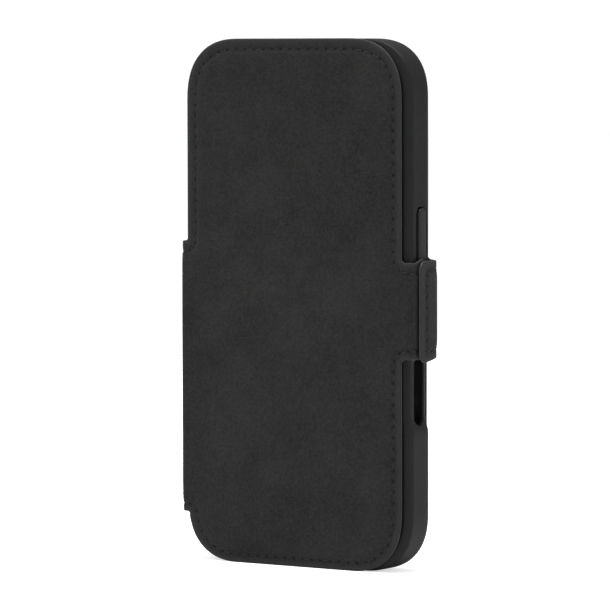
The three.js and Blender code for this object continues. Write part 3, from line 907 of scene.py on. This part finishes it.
def back_outline():
    left, right = SHELL_MIDDLE - SHELL_SIDE + BACK_INSET, SHELL_MIDDLE + SHELL_SIDE - BACK_INSET
    corners = panel_corners(left, right, BACK_INSET, HEIGHT - BACK_INSET, SHELL_CORNER - BACK_INSET)
    right_top, left_top, left_low, right_low = corners
    turn = left_low[left_low[:, 1] < SPINE_LOW - NOTCH]
    side = turn[0][0]
    fillet = right + STRAP_FILLET
    line = np.vstack([
        [[SEAM, SPINE_LOW]],
        arc(side - NOTCH, SPINE_LOW - NOTCH, NOTCH, 90, 0),
        turn,
        right_low,
        arc(fillet, STRAP_REAR_LOW - STRAP_FILLET, STRAP_FILLET, 180, 90),
        arc(STRAP_END - STRAP_CORNER, STRAP_LOW + STRAP_CORNER, STRAP_CORNER, -98, 0),
        arc(STRAP_END - STRAP_CORNER, STRAP_HIGH - STRAP_CORNER, STRAP_CORNER, 0, 90),
        arc(fillet, STRAP_HIGH + STRAP_FILLET, STRAP_FILLET, 270, 180),
        right_top,
        left_top,
        arc(left - NOTCH, SPINE_HIGH + NOTCH, NOTCH, 0, -90),
        [[SEAM, SPINE_HIGH]],
    ])
    return tidy_line(line)


back_edge = subdivide(back_outline(), 0.7)
back_holes = inset_line(back_edge, STITCH_INSET, STITCH_PITCH)
no_shift = np.zeros(2)

# %% Split the back pattern into panel and strap
CUT_AT = SHELL_MIDDLE + SHELL_SIDE - 5.2
CUT_LOW, CUT_HIGH = STRAP_REAR_LOW - 6, STRAP_HIGH + 6


def split_back(edge):
    """The part of the edge that belongs to the strap, and the panel's loop without it."""
    strap = (edge[:, 0] > CUT_AT) & (edge[:, 1] > CUT_LOW) & (edge[:, 1] < CUT_HIGH)
    first, last = np.flatnonzero(strap)[[0, -1]]
    low_at, high_at = edge[first], edge[last]
    cut = subdivide(np.array([low_at, [CUT_AT, low_at[1]], [CUT_AT, high_at[1]], high_at]), 0.8)
    panel = np.vstack([edge[:first], cut, edge[last + 1:]])
    return edge[first:last + 1], cut, panel


strap_edge, cut_line, panel_edge = split_back(back_edge)
strap_loop = np.vstack([strap_edge, cut_line[::-1][1:-1]])
on_strap_cut = np.arange(len(strap_loop)) >= len(strap_edge)
back_seam_line = subdivide(np.array([[SEAM, SPINE_HIGH], [SEAM, SPINE_LOW]]), 0.9)[1:-1]
panel_loop = np.vstack([panel_edge, back_seam_line])
on_panel_cut = (np.arange(len(panel_loop)) >= len(panel_edge)) | (
    distance_to(panel_loop, cut_line) < 0.01)

# %% Camera window in the back
WINDOW_HALF = 20.8
WINDOW_CORNER = 11.8
WINDOW_X = SHELL_MIDDLE + SHELL_SIDE - 24.65
WINDOW_Z = HEIGHT - 24


def window_outline(half, radius, steps=16):
    places = ((1, 1, 0), (-1, 1, 90), (-1, -1, 180), (1, -1, 270))
    parts = [arc(WINDOW_X + i * (half - radius), WINDOW_Z + j * (half - radius), radius, a, a + 90, steps)
             for i, j, a in places]
    line = np.vstack(parts)
    return subdivide(np.vstack([line, line[:1]]), 0.8)[:-1]


window_edge = window_outline(WINDOW_HALF, WINDOW_CORNER)
window_closed = np.vstack([window_edge, window_edge[:1]])


# %% Relief of the back leather
def strap_part(points):
    return smooth_step(points[:, 0], FOLD_STRAP - 0.6, FOLD_STRAP + 2.5)


def back_surface(points):
    pressed = 0.16 + 0.06 * strap_part(points)
    relief = seam_relief(points, back_edge, pressed, slope=0.9, shift=no_shift)
    return relief + waves(points, 15, 0.025)


def back_outer(points):
    depth = back_surface(points) + hole_relief(points, back_holes)
    depth += edge_round(distance_to(points, back_edge), 0.32)
    return depth + edge_round(distance_to(points, window_closed), 0.35)


def back_inner(points):
    on_strap = strap_part(points)
    border = 0.52 * (1 - smooth_step(distance_to(points, back_edge), 0.8, 1.1))
    return LEATHER * (1 - on_strap) + (SKIVED + border) * on_strap


# %% Make the back leather
panel_holes = back_holes[inside(back_holes, panel_loop)]
strap_holes = back_holes[inside(back_holes, strap_loop)]
back_panel = (SEAM, STRAP_END, 0, HEIGHT, 1.9, 1.7)
back_fill = relief_points(back_edge, panel_loop, panel_holes, (spine_columns,), back_panel, no_shift)
window_rings = np.vstack([window_outline(WINDOW_HALF + d, WINDOW_CORNER + d) for d in (0.12, 0.28, 0.5, 1.1)])
back_fill = back_fill[~inside(back_fill, window_outline(WINDOW_HALF + 1.6, WINDOW_CORNER + 1.6))]
back_fill = np.vstack([back_fill, window_rings])
back_leather = sheet_piece(
    "back_leather_panel", [panel_loop, window_edge[::-1]], wrap_back, back_outer, back_inner,
    (back_fill, back_fill), (leather, edge_paint, suede), flat_rim=on_panel_cut, near=edge_mask(back_edge),
    holes=hole_mask(panel_holes))
print("back leather:", len(back_leather.data.polygons), "faces")

# %% Make the strap
strap_columns = (FOLD_STRAP - 0.8, FOLD_STRAP + STRAP_RADIUS * math.pi / 2 + 0.4,
                 STRAP_LOW, STRAP_HIGH, 0.5, 1.1)
strap_skin = sheet_piece(
    "strap_leather_skin", [strap_loop], wrap_back, back_outer, back_inner,
    (relief_points(back_edge, strap_loop, strap_holes, (strap_columns,), back_panel, no_shift),
     plain_points(strap_edge, strap_loop, (strap_columns,), (CUT_AT, STRAP_END, CUT_LOW, CUT_HIGH, 1.7, 1.5),
                  (0.4, 0.8, 1.1, 1.6))),
    (leather, edge_paint, suede), flat_rim=on_strap_cut, near=edge_mask(back_edge), bulge=0.1,
    holes=hole_mask(strap_holes))


def runs_of(holes):
    """Splits holes into runs wherever the next one is too far for one stitch."""
    gaps = np.flatnonzero(np.linalg.norm(np.diff(holes, axis=0), axis=1) > LONGEST_STITCH * STITCH_PITCH) + 1
    return [run for run in np.split(holes, gaps) if len(run) > 1]


panel_stitches = stitch_piece("back_stitches", runs_of(panel_holes), wrap_back, back_surface)
strap_stitches = stitch_piece("strap_stitches", runs_of(strap_holes), wrap_back, back_surface)
print("strap:", len(strap_skin.data.polygons), "faces,", len(strap_holes), "needle holes")

# %% [markdown]
# ## Linings
# Soft microfibre lines the inside of the cover, the spine, the tab and the strap. Each lining is a thin
# sheet, glued down and pressed towards the leather at its edges.


# %% Linings
def flat_place(face, inward):
    return lambda points, depth: np.column_stack([points[:, 0], face + inward * depth, points[:, 1]])


def lining_piece(name, outline, place, outer, inner, materials, step=3.0, columns=()):
    edge = subdivide(np.vstack([outline, outline[:1]]), 1.0)
    loop = edge[:-1]
    low, high = outline.min(0), outline.max(0)
    fill = plain_points(edge, loop, columns, (low[0], high[0], low[1], high[1], step, step * 0.9),
                        (0.3, 0.6, 1.0, 1.5))
    return sheet_piece(name, [loop], place, lambda p: outer(distance_to(p, edge)),
                       lambda p: inner(distance_to(p, edge)), (fill, fill), materials, bulge=0.04)


cover_outline = tidy_line(np.vstack(panel_corners(COVER_LEFT + 0.3, COVER_RIGHT - 0.3, 0.3, HEIGHT - 0.3,
                                                  COVER_CORNER - 0.3)))
LINING = 0.35
cover_lining = lining_piece(
    "cover_lining_cloth", cover_outline, flat_place(COVER_INSIDE, -1),
    lambda d: 0.42 * (1 - smooth_step(d, 0, 1.0)),
    lambda d: LINING + 0.32 * (1 - smooth_step(d, 0, 0.9)), (microfibre,) * 3)
spine_outline = tidy_line(np.vstack(panel_corners(low_of("spine_lining", "y"), high_of("spine_lining", "y"),
                                                  SPINE_LOW + 0.5, SPINE_HIGH - 0.5, 1.2, 5)))
spine_face = high_of("spine_lining", "x")
spine_lining = lining_piece(
    "spine_lining_cloth", spine_outline,
    lambda points, depth: np.column_stack([spine_face - depth, points[:, 0], points[:, 1]]),
    lambda d: 0.2 * (1 - smooth_step(d, 0, 0.6)), lambda d: np.full(len(d), LINING), (microfibre,) * 3, 1.6)
TAB_PLATE = 0.25
TAB_SKIN = SKIVED + TAB_PLATE + 2 * GLUE_LINE
tab_outline = tidy_line(np.vstack(panel_corners(COVER_RIGHT + 0.5, TAB_END - 0.4, TAB_LOW + 0.4,
                                                TAB_HIGH - 0.4, 1.6, 5)))
tab_lining = lining_piece(
    "tab_lining_cloth", tab_outline, wrap_front, lambda d: np.full(len(d), TAB_SKIN),
    lambda d: TAB_SKIN + 0.2 - 0.1 * (1 - smooth_step(d, 0, 0.6)), (microfibre,) * 3, 1.2,
    ((FOLD_TAB - 0.6, TAB_END, TAB_LOW, TAB_HIGH, 0.42, 1.2),))
STIFFENER = 0.5
STRAP_SKIN = SKIVED + STIFFENER + 2 * GLUE_LINE
strap_outline = tidy_line(np.vstack(panel_corners(FOLD_STRAP + 4.1, STRAP_END - 0.5, STRAP_REAR_LOW + 0.5,
                                                  STRAP_HIGH - 0.5, 2.2, 6)))
strap_lining = lining_piece(
    "strap_lining_cloth", strap_outline, wrap_back, lambda d: np.full(len(d), STRAP_SKIN),
    lambda d: STRAP_SKIN + 0.2 - 0.08 * (1 - smooth_step(d, 0, 0.6)), (microfibre,) * 3, 1.2,
    ((FOLD_STRAP + 3.9, FOLD_STRAP + 8.2, STRAP_REAR_LOW, STRAP_HIGH, 0.5, 1.2),))
print("linings:", [p.name for p in (cover_lining, spine_lining, tab_lining, strap_lining)])

# %% [markdown]
# ## Card pockets
# A long note pocket is sewn to the lining, and three card pockets lie over it, each lower than the
# last, with a thumb notch in its mouth. They are thin skived leather, sewn down each side.


# %% Pockets
HEM = 1.7


def pocket_outline(node, notch=9.0):
    low, high = box_mm(node)
    middle = (low[0] + high[0]) / 2
    return tidy_line(np.vstack([
        arc(low[0] + 1.5, low[2] + 1.5, 1.5, 180, 270, 5),
        arc(high[0] - 1.5, low[2] + 1.5, 1.5, 270, 360, 5),
        arc(high[0] - 1.0, high[2] - 1.0, 1.0, 0, 90, 4),
        arc(middle, high[2], notch, 0, -180, 24),
        arc(low[0] + 1.0, high[2] - 1.0, 1.0, 90, 180, 4),
    ]))


def pocket_piece(node, seam_from, seam_to, bottom_seam):
    """A pocket front, sewn down both sides between two heights, and along its lower edge if asked."""
    low, high = box_mm(node)
    outline = pocket_outline(node)
    edge = subdivide(np.vstack([outline, outline[:1]]), 0.9)
    loop = edge[:-1]
    place = flat_place(high[1], -1)
    seams = []
    for x in (low[0] + HEM, high[0] - HEM):
        count = max(1, round((seam_to - seam_from) / STITCH_PITCH))
        z = np.linspace(seam_from, seam_to, count + 1)
        seams.append(np.column_stack([np.full(len(z), x), z]))
    if bottom_seam:
        count = round((high[0] - low[0] - 2 * HEM) / STITCH_PITCH)
        x = np.linspace(low[0] + HEM, high[0] - HEM, count + 1)
        seams.append(np.column_stack([x, np.full(len(x), low[2] + HEM)]))

    def face(points):
        """A shallow furrow along the hem."""
        return 0.05 * np.exp(-((distance_to(points, edge) - HEM) / 0.4) ** 2)

    fill = plain_points(edge, loop, (), (low[0], high[0], low[2], high[2], 3.4, 3.1),
                        (0.12, 0.3, 0.7, 1.3, 1.7, 2.1))
    piece = sheet_piece(node + "_leather", [loop], place,
                        lambda p: face(p) + edge_round(distance_to(p, edge), 0.14),
                        lambda p: np.full(len(p), high[1] - low[1]), (fill, fill),
                        (leather, edge_paint, suede), bulge=0.05, near=edge_mask(edge, 0.7))
    sewing = stitch_piece(node + "_stitches", seams, place, face, rise=0.03, shrink=0.8)
    return piece, sewing


UPPER, MIDDLE, LOWER = "card_pocket_upper", "card_pocket_middle", "card_pocket_lower"
pocket_tops = {n: high_of(n, "z") for n in (UPPER, MIDDLE, LOWER, "note_pocket")}
pockets = [
    ("note_pocket", pocket_tops[UPPER] + 1, pocket_tops["note_pocket"] - HEM, True),
    (UPPER, pocket_tops[MIDDLE] + 1, pocket_tops[UPPER] - HEM, False),
    (MIDDLE, pocket_tops[LOWER] + 1, pocket_tops[MIDDLE] - HEM, False),
    (LOWER, low_of(LOWER, "z") + HEM, pocket_tops[LOWER] - HEM, True),
]
pocket_pieces = {node: pocket_piece(node, low, high, bottom) for node, low, high, bottom in pockets}
print("pockets:", list(pocket_pieces))

# %% [markdown]
# ## The moulded shell
# The shell is swept: one cross-section of its wall runs round the outline of the case. The section is
# drawn with sharp corners, and each corner gets its own radius, as a mould maker would give it. The
# openings are cut afterwards, and their edges are rolled.

# %% Section of the wall
FLOOR = SHELL_BACK - 1.2
POCKET_FRONT = SHELL_FRONT + 1.3
WALL, LIP = 2.2, 1.35
SLOPE, SLOPE_WIDTH = 0.7, 2.6
FLOOR_INSET = 14.5  # less than the shell's corner radius, so that the last ring still has round corners


def filleted(points, steps=7):
    """A line through (x, y, radius) points, with each inner corner rounded by its radius."""
    line = [np.array(points[0][:2], float)]
    for before, at, after in zip(points[:-2], points[1:-1], points[2:]):
        p, radius = np.array(at[:2], float), at[2]
        a, b = np.array(before[:2]) - p, np.array(after[:2]) - p
        a, b = a / np.linalg.norm(a), b / np.linalg.norm(b)
        half = math.acos(max(-1, min(1, float(a @ b)))) / 2
        reach = radius / math.tan(half)
        middle = p + (a + b) / np.linalg.norm(a + b) * radius / math.sin(half)
        start, end = p + a * reach - middle, p + b * reach - middle
        turn = math.atan2(start[0] * end[1] - start[1] * end[0], float(start @ end))
        for k in range(steps + 1):
            t = turn * k / steps
            line.append(middle + np.array([start[0] * math.cos(t) - start[1] * math.sin(t),
                                           start[0] * math.sin(t) + start[1] * math.cos(t)]))
    line.append(np.array(points[-1][:2], float))
    return np.array(line)


wall_section = filleted([
    (FLOOR_INSET, FLOOR, 0),
    (WALL, FLOOR, 0.9),
    (WALL, POCKET_FRONT, 0.3),
    (WALL + LIP, POCKET_FRONT, 0.3),
    (WALL + LIP, SHELL_FRONT, 0.3),
    (SLOPE_WIDTH, SHELL_FRONT, 1.5),
    (0, SHELL_FRONT + SLOPE, 0.8),
    (0, SHELL_BACK, 3.0),
    (FLOOR_INSET, SHELL_BACK, 0),
])
wall_section = subdivide(wall_section, 1.1)
print("wall section points:", len(wall_section))


# %% Sweep the wall
def shell_outline(inset, corner_steps=22, side_steps=150, end_steps=30):
    left, right = SHELL_MIDDLE - SHELL_SIDE, SHELL_MIDDLE + SHELL_SIDE
    corners = panel_corners(left + inset, right - inset, inset, HEIGHT - inset, SHELL_CORNER - inset,
                            corner_steps)
    parts = []
    for i, part in enumerate(corners):
        following = corners[(i + 1) % 4][0]
        steps = end_steps if i % 2 == 0 else side_steps
        t = np.linspace(0, 1, steps + 1)[1:-1, None]
        parts += [part, part[-1] * (1 - t) + following * t]
    return np.vstack(parts)


SLOT_FROM_TOP = 101.95
SLOT_MIDDLE = HEIGHT - SLOT_FROM_TOP
SLOT_LENGTH, SLOT_WIDTH = 20.5, 5.0
SCOOP_DEPTH, SCOOP_RAMP = 1.0, 4.6


def scoop_shift(points, inset):
    """How far the side wall is lowered for a fingertip at the touch-control slot."""
    reach = (SLOT_LENGTH - SLOT_WIDTH) / 2
    along = abs(points[:, 1] - SLOT_MIDDLE) - reach
    share = 1 - smooth_step(along, 0, SCOOP_RAMP)
    outside = 1 - smooth_step(np.full(len(points), inset), 0.6, WALL + LIP - 0.25)
    on_side = points[:, 0] > SHELL_MIDDLE + SHELL_SIDE / 2
    return SCOOP_DEPTH * share * outside * on_side


def swept_shell():
    rings = []
    outer_start = int(np.argmax(wall_section[:, 1] <= SHELL_FRONT + 0.01))
    for k, (inset, y) in enumerate(wall_section):
        ring = shell_outline(inset)
        x = ring[:, 0] - (scoop_shift(ring, inset) if k >= outer_start else 0)
        rings.append(np.column_stack([x, np.full(len(ring), y), ring[:, 1]]))
    size = len(rings[0]), len(rings)
    faces = between_rings(*size) + ring_ends(*size)
    return new_piece("moulded_shell", np.vstack(rings), faces, [plastic])


shell = swept_shell()
print("swept shell:", len(shell.data.polygons), "faces")

# %% [markdown]
# ## Openings
# Each opening is a simple prism taken out of the wall. The rim of each opening is then bevelled in
# three steps, which catches a thin line of light, as the rolled edge of a moulding does.


# %% Prisms
def stadium(u, v, width, height, steps=12):
    radius = min(width, height) / 2
    du, dv = width / 2 - radius, height / 2 - radius
    parts = [arc(u + i * du, v + j * dv, radius, a, a + 90, steps)
             for i, j, a in ((1, 1, 0), (-1, 1, 90), (-1, -1, 180), (1, -1, 270))]
    return tidy_line(np.vstack(parts))[:-1]


def prism(outline, low, high, axis):
    """Points and faces of an outline made solid along x, y or z."""
    ends = []
    for value in (low, high):
        flat = np.full(len(outline), value)
        columns = {"x": (flat, outline[:, 0], outline[:, 1]), "y": (outline[:, 0], flat, outline[:, 1]),
                   "z": (outline[:, 0], outline[:, 1], flat)}[axis]
        ends.append(np.column_stack(columns))
    n = len(outline)
    faces = [tuple(range(n)), tuple(range(n, 2 * n))]
    faces += [(i, (i + 1) % n, n + (i + 1) % n, n + i) for i in range(n)]
    return np.vstack(ends), faces


def cutter_of(name, prisms):
    points, faces, count = [], [], 0
    for part, part_faces in prisms:
        points.append(part)
        faces += [tuple(i + count for i in f) for f in part_faces]
        count += len(part)
    return new_piece(name, np.vstack(points), faces, [plastic])


def cut(piece, cutter):
    """Takes the cutter out of the piece, and drops the cutter."""
    boolean = piece.modifiers.new("cut", "BOOLEAN")
    boolean.operation = "DIFFERENCE"
    boolean.solver = "EXACT"
    boolean.object = cutter
    bpy.context.view_layer.update()
    made = bpy.data.meshes.new_from_object(piece.evaluated_get(bpy.context.evaluated_depsgraph_get()))
    piece.modifiers.clear()
    piece.data = made
    bpy.data.objects.remove(cutter)


# %% Cut the openings
WALL_MIDDLE = FRONT + 7.725
KEY_MIDDLE = WALL_MIDDLE - 0.1
KEY_OPENING = 5.6
KEY_GAP = 0.3
FLANGE, FLANGE_REACH = 0.5, 0.8
OUTSIDE, THROUGH = -1, 3.2
RIM_HALF, RIM_CORNER = 19, 10
# each key's side, its distance from the top and its length
KEYS = {
    "power_button": (1, 58.6, 20),
    "volume_down_button": (-1, 53.5, 11),
    "volume_up_button": (-1, 39.5, 11),
    "action_button": (-1, 28, 7),
}


def through_side(side, outer_depth, inner_depth):
    """The two x places of a cut in the left or right wall, counted in from its outer face."""
    a = SHELL_MIDDLE + side * (SHELL_SIDE - outer_depth)
    b = SHELL_MIDDLE + side * (SHELL_SIDE - inner_depth)
    return min(a, b), max(a, b)


def key_prism(key, grow, outer_depth, inner_depth):
    side, from_top, length = key
    outline = stadium(KEY_MIDDLE, HEIGHT - from_top, KEY_OPENING + 2 * grow, length + 2 * grow)
    return prism(outline, *through_side(side, outer_depth, inner_depth), "x")


# each port's place along the lower edge, its length and its width
PORTS = ((0, 13, 6.5), (-14.3, 8, 3), (14.3, 8, 3))
control_slot = prism(stadium(WALL_MIDDLE, SLOT_MIDDLE, SLOT_WIDTH, SLOT_LENGTH),
                     *through_side(1, OUTSIDE, THROUGH), "x")
ports = [prism(stadium(SHELL_MIDDLE + x, WALL_MIDDLE, length, width), -1, 4, "z")
         for x, length, width in PORTS]
window_prism = prism(window_outline(RIM_HALF + 0.2, RIM_CORNER + 0.2), FLOOR - 1, SHELL_BACK + 1, "y")
openings = [key_prism(key, 0, OUTSIDE, THROUGH) for key in KEYS.values()] + [control_slot] + ports
cut(shell, cutter_of("openings", openings))
cut(shell, cutter_of("window", [window_prism]))
cut(shell, cutter_of("flange_rooms", [key_prism(key, 1.1, 1.2, THROUGH) for key in KEYS.values()]))


# %% Roll the edges of the openings
def roll_edges(piece, width, angle=40):
    """Bevels every edge that turns by more than angle, and evens out the shading round it."""
    work = bmesh.new()
    work.from_mesh(piece.data)
    bmesh.ops.remove_doubles(work, verts=work.verts, dist=0.004 * MM)
    bmesh.ops.dissolve_degenerate(work, dist=0.004 * MM, edges=work.edges)
    sharp = [e for e in work.edges if len(e.link_faces) == 2 and e.calc_face_angle(0) > math.radians(angle)]
    bmesh.ops.bevel(work, geom=sharp, offset=width * MM, offset_type="OFFSET", segments=3, profile=0.5,
                    affect="EDGES", clamp_overlap=False)
    work.to_mesh(piece.data)
    work.free()
    piece.data.polygons.foreach_set("use_smooth", [True] * len(piece.data.polygons))
    weigh = piece.modifiers.new("even_shading", "WEIGHTED_NORMAL")
    weigh.weight = 100


roll_edges(shell, 0.32)
print("shell after cutting:", len(shell.data.polygons), "faces")

# %% [markdown]
# ## Camera rim
# A raised rim guards the lenses. It is swept round the window, level with the leather, and reaches
# through the wall so that the inside of the window is one clean surface.

# %% Camera rim
rim_section = filleted([
    (0.0, FLOOR + 0.02, 0),
    (0.0, BACK, 0.35),
    (1.5, BACK, 0.45),
    (1.5, SHELL_BACK - 0.4, 0),
], 5)


def swept_window(name, section, material):
    """A closed section swept round the camera window."""
    rings = [window_outline(RIM_HALF + out, RIM_CORNER + out) for out, _ in section]
    count = min(len(r) for r in rings)
    placed = []
    for (out, y), ring in zip(section, rings):
        closed = np.vstack([ring, ring[:1]])
        even = resample(closed, 0.8)[:-1]
        at = np.linspace(0, len(even), count, endpoint=False).astype(int)
        placed.append(np.column_stack([even[at, 0], np.full(count, y), even[at, 1]]))
    return new_piece(name, np.vstack(placed), between_rings(count, len(placed), closed=True), [material])


camera_rim = swept_window("camera_rim", rim_section, plastic)
print("camera rim:", len(camera_rim.data.polygons), "faces")

# %% [markdown]
# ## Keys
# Each key is a cap with a rounded edge over a thin flange that keeps it in the wall.


# %% Keys
def upright_ring(u, v, width, height, steps=24):
    """The outline of an upright slot, always with the same number of points."""
    radius = width / 2
    reach = height / 2 - radius
    return np.vstack([arc(u, v + reach, radius, 0, 180, steps), arc(u, v - reach, radius, 180, 360, steps)])


def key_piece(node):
    side, from_top, length = KEYS[node]
    low, high = box_mm(node)
    outer = high[0] if side > 0 else low[0]
    inner = low[0] if side > 0 else high[0]
    front_gap = 1.2 if side > 0 else KEY_GAP
    front, back = KEY_MIDDLE - KEY_OPENING / 2 + front_gap, KEY_MIDDLE + KEY_OPENING / 2 - KEY_GAP
    tall, middle, wide = length - 2 * KEY_GAP, (front + back) / 2, back - front
    height = HEIGHT - from_top
    flange = abs(outer - inner) - FLANGE
    section = filleted([(wide / 2 - 0.05, 0, 0), (0, 0, 0.55), (0, flange, 0)], 6)
    rings = []
    for inset, depth in section:
        outline = upright_ring(middle, height, wide - 2 * inset, tall - 2 * inset)
        x = outer - side * depth
        rings.append(np.column_stack([np.full(len(outline), x), outline[:, 0], outline[:, 1]]))
    outline = upright_ring(KEY_MIDDLE, height, KEY_OPENING + 2 * FLANGE_REACH, length + 2 * FLANGE_REACH)
    for depth in (flange, flange + FLANGE):
        x = outer - side * depth
        rings.append(np.column_stack([np.full(len(outline), x), outline[:, 0], outline[:, 1]]))
    size = len(rings[0]), len(rings)
    faces = ring_ends(*size) + between_rings(*size)
    return new_piece(node + "_cap", np.vstack(rings), faces, [key_plastic])


keys = {node: key_piece(node) for node in KEYS}
print("keys:", list(keys))

# %% [markdown]
# ## How the pieces move
# Rigid pieces ride on one body. The leather pieces and the strap's lining stay where they were built,
# and the frame's solids that they stand for are hidden.

# %% Ride and replace
for piece in (shell, camera_rim):
    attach(piece, "shell_and_back")
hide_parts("phone_shell")

KEY_BODIES = {
    "power_button": "power_key",
    "volume_down_button": "volume_down_key",
    "volume_up_button": "volume_up_key",
    "action_button": "action_key",
}
for node, piece in keys.items():
    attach(piece, KEY_BODIES[node])
    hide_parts(node)


for piece in (front_leather, front_stitches):
    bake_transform(piece)
for piece in (back_leather, panel_stitches):
    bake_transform(piece)
for piece in (strap_skin, strap_stitches, strap_lining):
    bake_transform(piece)
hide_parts("cover_leather", "spine_leather")
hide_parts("back_leather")
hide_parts("strap_leather")

for piece, body, node in ((cover_lining, "cover", "cover_lining"), (spine_lining, "spine", "spine_lining"),
                          (tab_lining, "cover", "tab_lining"), (strap_lining, None, "strap_lining")):
    if body:
        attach(piece, body)
    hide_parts(node)
for node, (piece, sewing) in pocket_pieces.items():
    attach(piece, "cover")
    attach(sewing, "cover")
    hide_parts(node)


# %% Floor
FLOOR_GLOW = 0.65
floor_mesh = bpy.data.meshes.new("floor")
floor_mesh.from_pydata([(-6, -6, 0), (6, -6, 0), (6, 6, 0), (-6, 6, 0)], [], [(0, 1, 2, 3)])
floor_finish = bpy.data.materials.new("pale_floor")
floor_finish.use_nodes = True
floor_tree = floor_finish.node_tree
floor_shader = floor_tree.nodes["Principled BSDF"]
floor_shader.inputs["Base Color"].default_value = (0.94, 0.94, 0.94, 1)
floor_shader.inputs["Roughness"].default_value = 0.8
floor_shader.inputs["Emission Color"].default_value = (1, 1, 1, 1)
seen_floor = floor_tree.nodes.new("ShaderNodeLightPath")
glow = floor_tree.nodes.new("ShaderNodeMath")
glow.operation = "MULTIPLY"
glow.inputs[1].default_value = FLOOR_GLOW
link_in(floor_tree, seen_floor.outputs["Is Camera Ray"], glow.inputs[0])
link_in(floor_tree, glow.outputs[0], floor_shader.inputs["Emission Strength"])
floor_mesh.materials.append(floor_finish)
floor = bpy.data.objects.new("floor", floor_mesh)
bpy.context.scene.collection.objects.link(floor)
